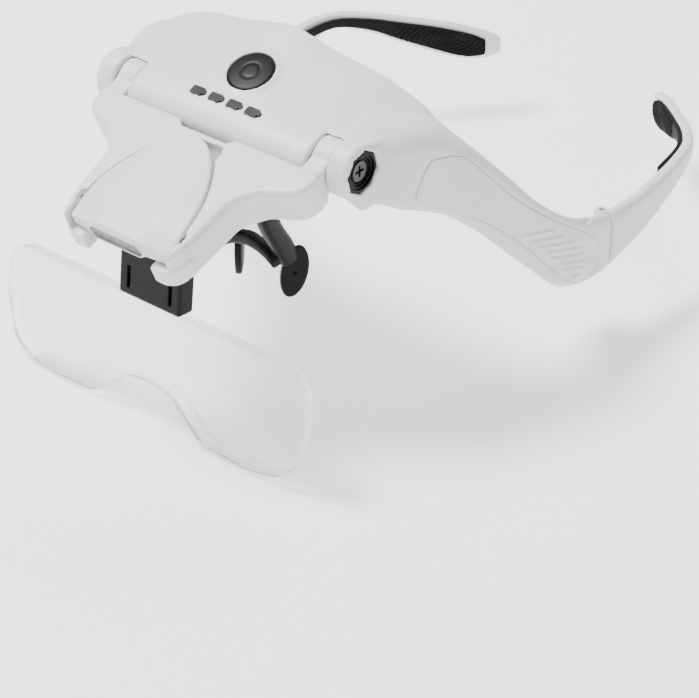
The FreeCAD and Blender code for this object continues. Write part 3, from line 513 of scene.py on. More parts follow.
def smooth_rows(rows, steps, closed=False):
    """Rows of numbers with smooth ones put between them."""
    count = len(rows)
    result = []
    for i in range(count if closed else count - 1):
        if closed:
            near = [rows[(i + k) % count] for k in (-1, 0, 1, 2)]
        else:
            near = [rows[min(max(i + k, 0), count - 1)] for k in (-1, 0, 1, 2)]
        for step in range(steps):
            result.append(tuple(between(*four, step / steps) for four in zip(*near)))
    return result if closed else result + [tuple(rows[-1])]


def set_down(piece, body, slot, *nodes, angle=None):
    """Bring a finished piece to metres, give it its slot's finish, and hang it on its body."""
    placed(piece, Matrix.Scale(MM, 4))
    pick(piece)
    if angle is None:
        bpy.ops.object.shade_smooth()
    else:
        bpy.ops.object.shade_smooth_by_angle(angle=math.radians(angle))
    piece.data.materials.clear()
    piece.data.materials.append(FINISHES[slot])
    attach(piece, body)
    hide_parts(*nodes)


# --- sections --------------------------------------------------------------------------
def brow_outline(reach, rim, lip, low_rear, low_front):
    """Outline of a brow section as (forward, up)."""
    fall = lip - low_front
    slope = low_rear - low_front
    return [
        (0.03 * reach, low_rear), (0.0, (rim + low_rear) / 2), (0.03 * reach, rim - 1.6),
        (0.10 * reach, rim), (0.35 * reach, rim - 0.32 * (rim - lip)),
        (0.62 * reach, rim - 0.66 * (rim - lip)), (0.87 * reach, lip),
        (0.985 * reach, lip - 0.28 * fall), (0.985 * reach, lip - 0.55 * fall),
        (0.91 * reach, low_front), (0.62 * reach, low_front + 0.3 * slope - 0.6),
        (0.30 * reach, low_front + 0.68 * slope - 0.5),
    ]


def walled(outline, wall, reach, rim, lip, low_rear, low_front):
    """The outline moved in by the wall."""
    middle = 0.45 * reach
    level = (rim + low_rear + lip + low_front) / 4
    across = 1 - wall / middle
    result = []
    for forward, up in outline:
        rise = up - level
        if abs(rise) > 2 * wall:
            rise -= math.copysign(wall, rise)
        result.append((middle + (forward - middle) * across, level + rise))
    return result


def bar_outline(thick, top, low):
    """Outline of an arm or temple section as (outward, up)."""
    tall = top - low
    return [
        (0.0, low + 0.22 * tall), (0.0, low + 0.5 * tall), (0.0, top - 0.14 * tall),
        (0.22 * thick, top - 0.02 * tall), (0.5 * thick, top), (0.78 * thick, top - 0.03 * tall),
        (0.97 * thick, top - 0.14 * tall), (thick, low + 0.62 * tall), (thick, low + 0.38 * tall),
        (0.96 * thick, low + 0.12 * tall), (0.55 * thick, low), (0.15 * thick, low + 0.05 * tall),
    ]


def facing(heading):
    return Vector((math.cos(math.radians(heading)), math.sin(math.radians(heading)), 0))


def section(outline, x, y, heading):
    """Closed smooth ring through (outward, up) points in the plane that faces a heading."""
    out = facing(heading)
    return [Vector((x, y, 0)) + out * o + Vector((0, 0, u))
            for o, u in smooth_rows(outline, 3, closed=True)]


def brow_loft(name, sizes, stations, hollow=False):
    half, depth, wall = sizes.half_width / MM, sizes.depth / MM, sizes.wall / MM
    rows = [(-row[0],) + row[1:] for row in reversed(stations[1:])] + stations
    rings = []
    for share, y, more, *heights in smooth_rows(rows, 4):
        outline = brow_outline(depth + more, *heights)
        if hollow:
            outline = walled(outline, wall, depth + more, *heights)
        rings.append(section(outline, share * half, y, -90))
    return loft(name, rings)


def bar_loft(name, half, rows, behind=0.0, thinner=0.0):
    rings = [section(bar_outline(thick - thinner, top, low), half + x, behind + y, heading)
             for x, y, heading, thick, top, low in smooth_rows(rows, 4)]
    return loft(name, rings)


# --- finishes --------------------------------------------------------------------------
class Value:
    """A shader socket that can be written in Python expressions."""

    def __init__(self, tree, socket):
        self.tree = tree
        self.socket = socket

    def made(self, operation, first, second):
        node = self.tree.nodes.new("ShaderNodeMath")
        node.operation = operation
        for slot, item in zip(node.inputs, (first, second)):
            if isinstance(item, Value):
                self.tree.links.new(item.socket, slot)
            else:
                slot.default_value = item
        return Value(self.tree, node.outputs[0])

    def __add__(self, other):
        return self.made("ADD", self, other)

    def __radd__(self, other):
        return self.made("ADD", other, self)

    def __sub__(self, other):
        return self.made("SUBTRACT", self, other)

    def __rsub__(self, other):
        return self.made("SUBTRACT", other, self)

    def __mul__(self, other):
        return self.made("MULTIPLY", self, other)

    def __rmul__(self, other):
        return self.made("MULTIPLY", other, self)


class Finish:
    """A material under construction."""

    def __init__(self, name, **constants):
        self.material = bpy.data.materials.new(name)
        self.material.use_nodes = True
        self.tree = self.material.node_tree
        self.shader = self.tree.nodes["Principled BSDF"]
        for socket, value in constants.items():
            self.shader.inputs[socket.replace("_", " ")].default_value = value
        self.place = self.node("ShaderNodeTexCoord", output="Object")

    def node(self, kind, settings=(), output=0, **sockets):
        """Any node: its settings first, then the values or links of its sockets."""
        node = self.tree.nodes.new(kind)
        for key, value in dict(settings).items():
            setattr(node, key, value)
        for key, value in sockets.items():
            self.feed(node, key.replace("_", " "), value)
        return Value(self.tree, node.outputs[output])

    def feed(self, node, socket, value):
        if isinstance(value, Value):
            self.tree.links.new(value.socket, node.inputs[socket])
        else:
            node.inputs[socket].default_value = value

    def noise(self, scale, detail=2.0, rough=0.5):
        """Noise from 0 to 1; scale in features a metre."""
        return self.node("ShaderNodeTexNoise", Vector=self.place, Scale=scale, Detail=detail,
                         Roughness=rough)

    def blend(self, share, low, high):
        """A colour between two, by a share."""
        node = self.tree.nodes.new("ShaderNodeMix")
        node.data_type = "RGBA"
        self.tree.links.new(share.socket, node.inputs["Factor"])
        node.inputs[6].default_value = (*low, 1)
        node.inputs[7].default_value = (*high, 1)
        return Value(self.tree, node.outputs[2])

    def bump(self, height, strength, distance):
        """Relief in millimetres."""
        normal = self.node("ShaderNodeBump", Height=height, Strength=strength,
                           Distance=distance * MM)
        self.feed(self.shader, "Normal", normal)

    def surface(self, colour_value, rough):
        self.feed(self.shader, "Base Color", colour_value)
        self.feed(self.shader, "Roughness", rough)


def tinted(tint, factor):
    return tuple(min(1.0, channel * factor) for channel in tint)


def moulded(name, tint, rough, grain, relief, **constants):
    """Moulded plastic: fine spark texture, faint flow marks in gloss and tone."""
    finish = Finish(name, **constants)
    flow = finish.noise(38.0, 3.0)
    fine = finish.noise(grain, 2.0, 0.6)
    wear = finish.noise(320.0, 4.0, 0.65)
    finish.surface(finish.blend(flow, tinted(tint, 0.975), tinted(tint, 1.02)),
                   rough - 0.05 + flow * 0.06 + wear * 0.05)
    finish.bump(fine + wear * 0.35, 0.35, relief)
    return finish.material


def rubber_finish(name, tint):
    finish = Finish(name, Specular_IOR_Level=0.15)
    grain = finish.noise(2600.0, 3.0, 0.7)
    dust = finish.noise(140.0, 5.0, 0.6)
    finish.surface(finish.blend(dust, tinted(tint, 0.8), tinted(tint, 1.35)),
                   0.6 + grain * 0.12 + dust * 0.08)
    finish.bump(grain, 0.5, 0.04)
    return finish.material


def acrylic_finish(name, tint):
    """Clear plate, with faint ripples of the moulding."""
    finish = Finish(name, Transmission_Weight=1.0, IOR=1.49, Alpha=0.6)
    ripple = finish.noise(45.0, 1.0)
    haze = finish.noise(700.0, 3.0)
    finish.surface(finish.blend(ripple, tinted(tint, 0.985), tint), 0.004 + haze * 0.012)
    finish.bump(ripple, 0.12, 0.05)
    return finish.material


def smoked_finish(name, tint):
    finish = Finish(name, Coat_Weight=0.5, Coat_Roughness=0.08)
    cloud = finish.noise(260.0, 3.0)
    finish.surface(finish.blend(cloud, tinted(tint, 0.8), tinted(tint, 1.25)), 0.14 + cloud * 0.1)
    finish.bump(cloud, 0.15, 0.02)
    return finish.material


def metal_finish(name, tint, rough):
    """Machined metal with a fine lay of tool marks and a little staining."""
    finish = Finish(name, Metallic=1.0)
    marks = finish.node("ShaderNodeTexWave", {"wave_type": "RINGS", "rings_direction": "X"},
                        output="Fac", Vector=finish.place, Scale=900.0, Distortion=3.0,
                        Detail=2.0)
    stain = finish.noise(180.0, 4.0)
    finish.surface(finish.blend(stain, tinted(tint, 0.8), tinted(tint, 1.1)),
                   rough + marks * 0.08 + stain * 0.08)
    finish.bump(marks, 0.2, 0.01)
    return finish.material


def mirror_finish(name):
    """Vapour-plated cups."""
    finish = Finish(name, Metallic=1.0)
    orange = finish.noise(1500.0, 2.0)
    finish.surface(finish.blend(orange, (0.12, 0.12, 0.125), (0.25, 0.25, 0.255)),
                   0.2 + orange * 0.12)
    finish.bump(orange, 0.3, 0.03)
    return finish.material


def diode_finish(name):
    """Clear epoxy over a pale phosphor."""
    finish = Finish(name, Coat_Weight=0.6, Coat_Roughness=0.05)
    cells = finish.node("ShaderNodeTexVoronoi", output="Distance", Vector=finish.place,
                        Scale=900.0)
    finish.surface(finish.blend(cells, (0.3, 0.295, 0.27), (0.16, 0.16, 0.16)),
                   0.15 + cells * 0.15)
    finish.bump(cells, 0.15, 0.03)
    return finish.material


def board_finish(name):
    """Green solder mask over copper runs."""
    finish = Finish(name, Coat_Weight=0.3)
    runs = finish.node("ShaderNodeTexBrick", output="Fac", Vector=finish.place, Scale=420.0)
    grain = finish.noise(900.0, 3.0)
    finish.surface(finish.blend(runs, (0.012, 0.07, 0.03), (0.03, 0.14, 0.06)),
                   0.3 + grain * 0.12)
    finish.bump(runs + grain * 0.2, 0.4, 0.03)
    return finish.material


def wrap_finish(name):
    """Foil pouch with a crimped grain."""
    finish = Finish(name, Metallic=0.8)
    creases = finish.node("ShaderNodeTexVoronoi", {"feature": "DISTANCE_TO_EDGE"},
                          output="Distance", Vector=finish.place, Scale=320.0)
    grain = finish.noise(1200.0, 2.0)
    finish.surface(finish.blend(grain, (0.45, 0.45, 0.47), (0.62, 0.62, 0.63)),
                   0.3 + grain * 0.15)
    finish.bump(creases, 0.5, 0.08)
    return finish.material


def floor_finish(name, tint):
    finish = Finish(name, Emission_Color=(*tint, 1), Emission_Strength=0.8)
    paper = finish.noise(90.0, 4.0)
    finish.surface(finish.blend(paper, tinted(tint, 0.99), tinted(tint, 1.005)),
                   0.75 + paper * 0.1)
    finish.bump(paper, 0.05, 0.05)
    return finish.material


FINISHES = {}


def make_finishes(colours):
    """One material for each finish of the visor, by the record's slot."""
    shell, black = tuple(colours.shell), tuple(colours.black)
    FINISHES.update({
        "white_shell": moulded("satin white plastic", shell, 0.42, 2400.0, 0.012,
                               Specular_IOR_Level=0.45),
        "black_plastic": moulded("charcoal plastic", black, 0.42, 1900.0, 0.03,
                                 Specular_IOR_Level=0.15),
        "soft_black_rubber": rubber_finish("soft rubber", tuple(colours.rubber)),
        "clear_lens": acrylic_finish("clear acrylic", tuple(colours.lens)),
        "clear_window": acrylic_finish("clear lamp window", tuple(colours.lens)),
        "smoked_window": smoked_finish("smoked window", tuple(colours.smoke)),
        "bright_steel": metal_finish("dull steel", (0.3, 0.3, 0.305), 0.34),
        "dark_screw": metal_finish("black oxide screw", (0.07, 0.07, 0.075), 0.32),
        "bush_nylon": moulded("natural nylon", (0.72, 0.71, 0.67), 0.5, 1500.0, 0.02),
        "reflector": mirror_finish("plated reflector"),
        "diode": diode_finish("light diode"),
        "board": board_finish("solder mask"),
        "switch_body": moulded("switch body", (0.05, 0.05, 0.055), 0.4, 1700.0, 0.02),
        "cell_wrap": wrap_finish("cell pouch"),
    })


# --- brow housing ----------------------------------------------------------------------
HUB_OUT, HUB_IN, HUB_R = 41.9, 36.9, 5.87
EAR_OUT, EAR_IN, EAR_R = 35.8, 29.9, 6.3
GAP = 0.3
FRONT_R = 9.4
BUTTON_Y, BUTTON_Z = -18.8, 8.9
WINDOW_Y, WINDOW_Z, WINDOW_PITCH = -28.8, 4.7, 6.1
WINDOW_HALF, WINDOW_DEEP, NUB_LONG, NUB_DEEP = 2.2, 1.15, 0.8, 0.63
LUG_R, SCREW_BORE_R = 7.6, 1.6
# The panel's mean heading, how far forward and back its prism runs, and the face it lies on:
# x at its rear, where that is, and how fast the face curves in ahead of it.
PANEL_HEADING, PANEL_RUN = -16.0, 14.0
PANEL_X, PANEL_REAR, PANEL_CURVE = 69.0, 44.0, 0.005456
# Rooms in the underside, as (half width, front y, rear y, corner radius, low z, high z).
LID_ROOM = (22.1, -31.1, -8.4, 3, -20, -2)
PORT_ROOM = (4.6, -7.1, -3.7, 1.6, -16, 1.8)
FOOT_ROOM = (-13.1, 13.1, -29.8, -25.2, -20, -7.9)
DECK = math.radians(22.5)
OCTAGON_TURN = math.radians(22.5 + 14.0)


def on_deck(y, z):
    return Matrix.Translation((0, y, z)) @ Matrix.Rotation(DECK, 4, "X")


def octagon(name, radius, x0, x1):
    corners = [(x0, HINGE[1] + radius * math.cos(turn), HINGE[2] + radius * math.sin(turn))
               for turn in (OCTAGON_TURN + math.pi / 4 * k for k in range(8))]
    return prism(name, corners, (x1 - x0, 0, 0))


def window_tool(name, x, grow, low, high):
    """Battery shape: a rectangle with a small terminal on its outer end."""
    half, deep, nub = WINDOW_HALF + grow, WINDOW_DEEP + grow, NUB_DEEP + grow
    neck = x + half - NUB_LONG
    outline = [(x - half, -deep), (neck, -deep), (neck, -nub), (x + half, -nub), (x + half, nub),
               (neck, nub), (neck, deep), (x - half, deep)]
    return level_prism(name, outline, low, high)


def window_places(count):
    return [(k - (count - 1) / 2) * WINDOW_PITCH for k in range(count)]


def panel_prism(name, grow):
    """The side panel's outline, run through the arm along its mean facing."""
    way = facing(PANEL_HEADING)
    middle = Vector((sum(y for y, z in PANEL), sum(z for y, z in PANEL))) / len(PANEL)
    ring = []
    for y, z in smooth_rows(PANEL, 4, closed=True):
        out = (Vector((y, z)) - middle).normalized() * grow
        x = PANEL_X - PANEL_CURVE * (PANEL_REAR - y) ** 2
        ring.append(Vector((x, y + out.x, z + out.y)) - way * PANEL_RUN)
    return prism(name, ring, way * 2 * PANEL_RUN)


def under_room(name, half, front, rear, radius, low, high):
    """Rounded room cut up into the underside."""
    return slab(name, [(-half, front, radius), (half, front, radius), (half, rear, radius),
                       (-half, rear, radius)], low, high)


def shell_blank(sizes):
    """Brow and arms melted into one skin."""
    half = sizes.half_width / MM
    brow = brow_loft("brow", sizes, BROW)
    arm = bar_loft("arm", half, ARM)
    ring = placed(turned("button rim", [
        (5.0, -2.0), (7.55, -2.0), (7.55, 0.3), (7.3, 0.62), (6.85, 0.7), (5.0, 0.7)]),
        on_deck(BUTTON_Y, BUTTON_Z))
    lug_nose = [hinge_rod("lug nose", LUG_R - 0.1, side * (EAR_OUT + 0.2), side * (half - 0.05))
                for side in (1, -1)]
    blank = joined(brow, arm, mirrored(arm, "arm right"), *lug_nose)
    remeshed(blank, 0.8, 5)
    return joined(blank, ring)


def lug_trim(half):
    """Keeps each lug's front round about the hinge."""
    front = block("lug front", EAR_OUT + 0.2, half + 3, -FAR, HINGE[1], -30, 30)
    return cut(front, hinge_rod("lug round", LUG_R, EAR_OUT - 2, half + 5))


def make_housing(sizes):
    half, deep = sizes.half_width / MM, sizes.panel_deep / MM
    fold = half + FOLD_OUT
    blank = remeshed(shell_blank(sizes), 0.6, 1)
    skin = copied(blank, "panel skin")
    cut(blank, brow_loft("brow hollow", sizes, BROW[:4], hollow=True))

    front = block("brow front", -EAR_IN, EAR_IN, -FAR, HINGE[1], -FAR, FAR)
    cut(blank, cut(front, hinge_rod("brow round", FRONT_R, -FAR, FAR)))
    cut(blank, *both(lug_trim(half)))
    low, high = EAR_IN - GAP, EAR_OUT + GAP
    for tool in (block("slot front", low, high, -FAR, HINGE[1], -FAR, FAR),
                 block("slot below", low, high, -FAR, HINGE[1] + EAR_R + GAP, -FAR, HINGE[2]),
                 hinge_rod("slot round", EAR_R + GAP, low, high),
                 octagon("hub seat", HUB_R + 0.12, HUB_IN, FAR),
                 hinge_rod("hinge bore", SCREW_BORE_R, EAR_IN - 5, HUB_IN + 1),
                 upright_rod("eye low", KNUCKLE_ROOM_R, fold, FOLD_Y, -50.35, -47.35),
                 upright_rod("eye high", KNUCKLE_ROOM_R, fold, FOLD_Y, -41.65, -38.65),
                 block("edge slit", half + 24.4, half + 26.6, 36.2, 40.4, -37.1, -30)):
        cut(blank, *both(tool))
    button_hole = rod("button hole", sizes.button_radius / MM + 0.25, (0, 0, -6), (0, 0, 6), 96)
    cut(blank, placed(button_hole, on_deck(BUTTON_Y, BUTTON_Z)))
    for x in window_places(sizes.windows):
        hole = placed(window_tool("window hole", x, 0.12, -6, 3), on_deck(WINDOW_Y, WINDOW_Z))
        cut(blank, hole)
    cut(blank, under_room("lid room", *LID_ROOM), block("foot room", *FOOT_ROOM),
        under_room("port room", *PORT_ROOM))

    inner = bar_loft("arm core", half, ARM, thinner=deep)
    pocket = cut(panel_prism("panel pocket", 0.22), inner)
    cut(blank, *both(pocket))
    barrel = upright_rod("barrel", KNUCKLE_R, fold, FOLD_Y, -47.5, -41.5)
    housing = joined(blank, *both(barrel))
    housing.name = "visor_shell"
    remeshed(housing, sizes.voxel / MM, 2)
    thinned(housing, 190000)

    panel = kept_inside(skin, panel_prism("panel edge", 0.0))
    cut(panel, bar_loft("panel back", half, ARM, thinner=deep - 0.05))
    return housing, panel


def largest_part(piece):
    """Keep the biggest loose part of a piece."""
    pick(piece)
    edit_all()
    bpy.ops.mesh.separate(type="LOOSE")
    bpy.ops.object.mode_set(mode="OBJECT")
    parts = sorted(bpy.context.selected_objects, key=lambda part: -len(part.data.vertices))
    for part in parts[1:]:
        remove(part)
    return parts[0]


def add_ribs(panel):
    """Grip ribs on the rear of the panel."""
    bars = []
    for y0, z0, y1, z1 in RIBS:
        path = []
        for step in range(7):
            share = step / 6
            y, z = y0 + (y1 - y0) * share, z0 + (z1 - z0) * share
            found, where, normal, _ = panel.ray_cast(Vector((90, y, z)), Vector((-1, 0, 0)))
            if found:
                path.append(where - normal * 0.28)
        if len(path) > 3:
            bars.append(tube("rib", path, 0.75))
    return joined(panel, *bars)


class VISOR_OT_housing(bpy.types.Operator):
    """Build the brow housing with its arms and side panels"""

    bl_idname = "visor.housing"
    bl_label = "Brow housing"

    def execute(self, context):
        housing, panel = make_housing(context.scene.visor_housing_sizes)
        panel = largest_part(panel)
        add_ribs(panel)
        panel.name = "arm_panel_left"
        remeshed(panel, 0.3, 2)
        twin = mirrored(panel, "arm_panel_right")
        set_down(housing, "visor", "white_shell", "visor_housing")
        set_down(panel, "visor", "white_shell", "side_panel_left")
        set_down(twin, "visor", "white_shell", "side_panel_right")
        return {"FINISHED"}


# --- bracket and lamp, modelled in the flat frame ----------------------------------------
LAMP_PIVOT = (39.8, 3.2)     # forward, up
HOLDER_PIVOT = (33.0, -3.6)  # forward, up
PIN_BORE_R, BUSH_BORE_R = 0.95, 2.65
LAMP_FRONT, LAMP_SEAM, DIODE_REACH, WING_WIDE = -46.9, 3.2, 6.54, 18.0
BAY_GAP = 0.45
STRIP_REAR = 7.7
PAW_START, PAW_IN, CHEEK = 41.5, 11.3, 2.4
SKIN = 2.2
NOTCH = (9.6, 7.6, 10.4)     # half width at the rear, at the front, and depth
BRACKET_ARM = 4.1            # width of the bracket's arm beside the lamp
# Rear half of the lamp's shield outline, as (share of the half width, forward).
LAMP_EDGE = [
    (0.0, 12.3), (0.195, 12.9), (0.39, 15.1), (0.57, 18.4), (0.74, 23.0), (0.87, 28.0),
    (0.945, 33.0), (0.985, 38.0), (1.0, 42.0), (1.0, 44.8),
]


def lamp_side(half, grow=0.0, start=0):
    """One side of the lamp's outline from the rear, moved out by grow."""
    line = [Vector((share * half, -forward)) for share, forward in smooth_rows(LAMP_EDGE, 3)]
    result = []
    for k in range(start, len(line)):
        along = line[min(k + 1, len(line) - 1)] - line[max(k - 1, 0)]
        out = Vector((-along.y, along.x)).normalized()
        result.append(line[k] + out * grow)
    return result


def bay_outline(half, grow, end):
    """The opening round the lamp: its left rear corner is left square, the right one follows
    the lamp."""
    rear, corner = BAY_GAP + grow - 12.3, 8.0 + grow
    left = [Vector((corner, rear)), Vector((corner + 0.9, rear - 4.6))]
    left += lamp_side(half, BAY_GAP + grow, 11) + [Vector((half + BAY_GAP + grow, end))]
    right = lamp_side(half, BAY_GAP + grow, 1) + [Vector((half + BAY_GAP + grow, end))]
    return left + [Vector((-point.x, point.y)) for point in reversed(right)]


def bracket_side(half, end, inset=0.0):
    """Outline of the bracket, moved in by inset."""
    out, shoulder = half + BRACKET_ARM - inset, EAR_OUT + 0.7 - inset
    return both_sides([
        (shoulder, -STRIP_REAR, 1.5), (shoulder, -15.4 + inset, 6.0 - inset),
        (shoulder - 4.9, -17.6 + inset, 4.0), (out + 5.5, -19.6 + inset, 4.0),
        (out + 0.4, -25.0 + inset * 0.3, 6.0), (out - 0.6, -39.0, 9.0),
        (out - 2.4, -end + inset, 5.6 - inset)])


def axis_rod(name, radius, x0, x1, forward=0.0, up=0.0, sides=96):
    """Rod along x in the flat or upright frame."""
    return rod_x(name, radius, x0, x1, -forward, up, sides)


def make_bracket(sizes):
    top, low, end = sizes.top / MM, -sizes.low / MM, sizes.arm_end / MM
    half, voxel = sizes.lamp_half / MM, sizes.voxel / MM
    out, cheek_out, swing = half + BRACKET_ARM, PAW_IN + CHEEK, FRONT_R + GAP
    shell = slab("bracket", bracket_side(half, end), low, top)
    rounded_edges(shell, sizes.round_edge / MM, 4, 60)
    inside = slab("bracket inside", bracket_side(half, end, SKIN), low - 2, top - SKIN)
    rounded_edges(inside, 1.2, 2, 60)
    cut(inside, axis_rod("inside clear", swing + SKIN, -FAR, FAR))
    cut(shell, inside)

    bay = level_prism("bay", bay_outline(half, 0.0, -FAR), low - 2, top + 2)
    lining = level_prism("lining", bay_outline(half, SKIN, 3.0 - end), low + 1, top - 1)
    kept_inside(lining, slab("lining bound", bracket_side(half, end), low, top))
    cut(lining, copied(bay, "bay again"))
    cut(shell, bay)
    shell = joined(shell, lining)

    paws = []
    for side in (1, -1):
        paw = slab("paw", [(PAW_IN * side, -PAW_START, 0), ((out - 0.2) * side, -PAW_START, 0),
                           ((out - 2.5) * side, -end, 5.2), (PAW_IN * side, -end, 0.8)],
                   low + 0.9, 0.6)
        cheek = block("cheek", *sorted((side * PAW_IN, side * cheek_out)),
                      -PAW_START, -28.8, low, -1.34)
        tie = block("tie", *sorted((side * (PAW_IN + 2.0), side * (out - 1))),
                    -31.4, -29.4, low + 1, -1.34)
        neck = block("neck", *sorted((side * EAR_IN, side * EAR_OUT)),
                     -STRIP_REAR - 4, 0.6, -3.4, top - 0.7)
        ear = axis_rod("ear", EAR_R - 0.05, side * EAR_IN, side * EAR_OUT)
        paws += [paw, cheek, tie, neck, ear]
    shell = joined(shell, *paws)
    remeshed(shell, voxel, 3)

    clear = axis_rod("swing", swing, -EAR_IN, EAR_IN, sides=160)
    rear, narrow, deep = NOTCH
    notch = slab("notch", [(-rear, 3, 0), (rear, 3, 0), (rear, -STRIP_REAR - 0.3, 1.0),
                           (narrow, -deep, 1.2), (-narrow, -deep, 1.2),
                           (-rear, -STRIP_REAR - 0.3, 1.0)], low - 2, top + 2)
    cut(shell, clear, notch)
    for tool in (axis_rod("swing wide", swing, EAR_OUT, FAR, sides=160),
                 axis_rod("bush bore", BUSH_BORE_R, EAR_IN - 1, EAR_OUT + 1),
                 axis_rod("lamp pin bore", PIN_BORE_R, half, half + 2.1, *LAMP_PIVOT, 32),
                 axis_rod("holder pin bore", PIN_BORE_R, PAW_IN - 1, cheek_out,
                          *HOLDER_PIVOT, 32),
                 block("lamp slit", half + 0.2, half + 1.3, -41.6, -38.2, top - 1.2, top + 2)):
        cut(shell, *both(tool))
    remeshed(shell, voxel, 1)
    return thinned(placed(shell, FLAT), 185000)


def capsule(name, radius, y0, y1):
    """Bar with a stadium section, across the lamp's front round the diodes."""
    outline = []
    for side in (1, -1):
        for k in range(13):
            turn = side * math.pi / 2 - math.pi * k / 12
            outline.append((side * DIODE_REACH + radius * math.cos(turn), y0,
                            LAMP_SEAM + radius * math.sin(turn)))
    return prism(name, outline, (0, y1 - y0, 0))


def wing(top):
    """What is cut from one side of the hood, so that it falls away from its crease."""
    rings = []
    for x, forward in smooth_rows(CREASE, 4):
        drop = 0.13 + 0.13 * max(0.0, (forward - 34.0) / 13.0)
        rings.append([(x, -forward, top), (x + 2.5, -forward, top - 1.5 * drop),
                      (x + WING_WIDE, -forward, top - WING_WIDE * drop),
                      (x + WING_WIDE, -forward, top + 8), (x, -forward, top + 8)])
    return loft("wing", rings)


def make_lamp(sizes):
    """Creased hood over a shallow tray, with a rounded bezel round the light window."""
    half, top, low, front = sizes.lamp_half / MM, sizes.lamp_top / MM, 0.9, LAMP_FRONT
    side_line = lamp_side(half) + [Vector(point) for point in (
        (half, front + 1.9), (half - 0.35, front + 1.2), (half - 1.1, front + 0.9),
        (0.55 * half, front + 0.4))]
    outline = side_line + [Vector((-point.x, point.y)) for point in reversed(side_line[1:])]
    hood = level_prism("hood", outline, low, top)
    rounded_edges(hood, 0.5, 3, 60)
    cut(hood, *both(wing(top)))
    bezel = capsule("bezel", 2.8, front - 0.3, front + 5.5)
    rounded_edges(bezel, 0.4, 2, 60)
    hood = joined(hood, bezel)
    remeshed(hood, 0.3, 2)
    room = slab("lamp room", both_sides([(5.0, -18.5, 2), (8.0, -25.0, 3), (10.0, -34.0, 4),
                                         (10.0, front + 2.0, 1)]), low + 1.4, 4.85)
    cut(hood, room, capsule("window room", 2.15, front - 1, front + 4.6))
    cut(hood, axis_rod("lamp pin run", PIN_BORE_R, -FAR, FAR, *LAMP_PIVOT, 32))
    remeshed(hood, 0.26, 1)
    tray = copied(hood, "lamp_tray_shell")
    hood.name = "lamp_hood"
    for piece, height, flip in ((hood, LAMP_SEAM, True), (tray, LAMP_SEAM - 0.1, False)):
        pick(piece)
        edit_all()
        bpy.ops.mesh.bisect(plane_co=(0, 0, height), plane_no=(0, 0, 1), use_fill=True,
                            clear_inner=flip, clear_outer=not flip)
        bpy.ops.object.mode_set(mode="OBJECT")
        thinned(placed(piece, FLAT), 120000)
    return hood, tray


class VISOR_OT_bracket(bpy.types.Operator):
    """Build the hinged lens bracket"""

    bl_idname = "visor.bracket"
    bl_label = "Lens bracket"

    def execute(self, context):
        bracket = make_bracket(context.scene.visor_bracket_sizes)
        bracket.name = "bracket_shell"
        set_down(bracket, "bracket", "white_shell", "lens_bracket")
        return {"FINISHED"}


class VISOR_OT_lamp(bpy.types.Operator):
    """Build the lamp's hood and tray"""

    bl_idname = "visor.lamp"
    bl_label = "Lamp"

    def execute(self, context):
        hood, tray = make_lamp(context.scene.visor_bracket_sizes)
        set_down(hood, "lamp", "white_shell", "lamp_cover", angle=40)
        set_down(tray, "lamp", "white_shell", "lamp_tray", angle=40)
        return {"FINISHED"}


# --- holder and lens, modelled in the upright frame --------------------------------------
HOLDER_FRONT, HOLDER_DEPTH, HOLDER_TOP, HOLDER_LOW = -2.4, 5.5, -7.0, -23.2
TAB_MIDDLE = HOLDER_FRONT + HOLDER_DEPTH / 2
NOTCH_HALF, NOTCH_TALL = 14.0, 11.2


def make_holder(sizes):
    """Box with a springy tongue between two slits, hung from a barrel."""
    half, back = sizes.holder_half / MM, HOLDER_FRONT + HOLDER_DEPTH
    body = block("holder", -half, half, HOLDER_FRONT, back, HOLDER_LOW, HOLDER_TOP)
    rounded_edges(body, 0.5, 2)
    web = block("web", -8, 8, -1.6, 1.8, HOLDER_TOP - 0.5, 0)
    body = joined(body, web, axis_rod("holder barrel", 2.7, -half, half))
    remeshed(body, 0.24, 2)
    socket = block("socket", -6.2, 6.2, TAB_MIDDLE - 1.4, TAB_MIDDLE + 1.4, HOLDER_LOW - 1, -13.0)
    cut(body, axis_rod("pin run", PIN_BORE_R, -FAR, FAR, sides=32), socket)
    slit = slab("tongue slit", [(6.55, HOLDER_FRONT - 1, 0), (7.65, HOLDER_FRONT - 1, 0),
                                (7.65, back + 1, 0), (6.55, back + 1, 0)], -21.0, -14.6)
    cut(body, *both(slit))
    remeshed(body, 0.2, 1)
    return thinned(placed(body, UPRIGHT), 120000)


def lens_outline(half, top, tall):
    """Corners (x, z, radius) of the plate, with the nose notch in its lower edge."""
    low = top - tall
    side = [
        (half - 1.2, top, 8.0), (half + 0.4, top - 0.44 * tall, 14.0),
        (half - 3.2, low + 2.0, 11.0), (half - 18.0, low - 0.4, 10.0),
        (NOTCH_HALF + 4.8, low + 0.2, 8.0), (NOTCH_HALF - 5.8, low + NOTCH_TALL - 1.8, 3.4),
        (0.0, low + NOTCH_TALL + 0.6, 24.0)]
    return side + [(-x, z, r) for x, z, r in reversed(side[:-1])]


def make_lens(sizes):
    """Clear plate with a polished bevel and the slotted tab that plugs into the holder."""
    thick, edge = sizes.thick / MM, sizes.edge / MM
    top = HOLDER_LOW - GAP
    outline = rounded_outline(lens_outline(sizes.half_width / MM, top, sizes.tall / MM), 10)
    plate = prism("lens_plate", [(p.x, TAB_MIDDLE - thick / 2, p.y) for p in outline],
                  (0, thick, 0))
    rounded_edges(plate, edge, 3, 60)
    tab = block("tab", -5.9, 5.9, TAB_MIDDLE - 1.1, TAB_MIDDLE + 1.1, top - 1.4, top + 7.6)
    cut(tab, block("tab slot", -3.4, 3.4, -FAR, FAR, top + 2.6, top + 5.2))
    rounded_edges(tab, 0.25, 2)
    combined(plate, "UNION", [tab])
    return placed(plate, UPRIGHT)


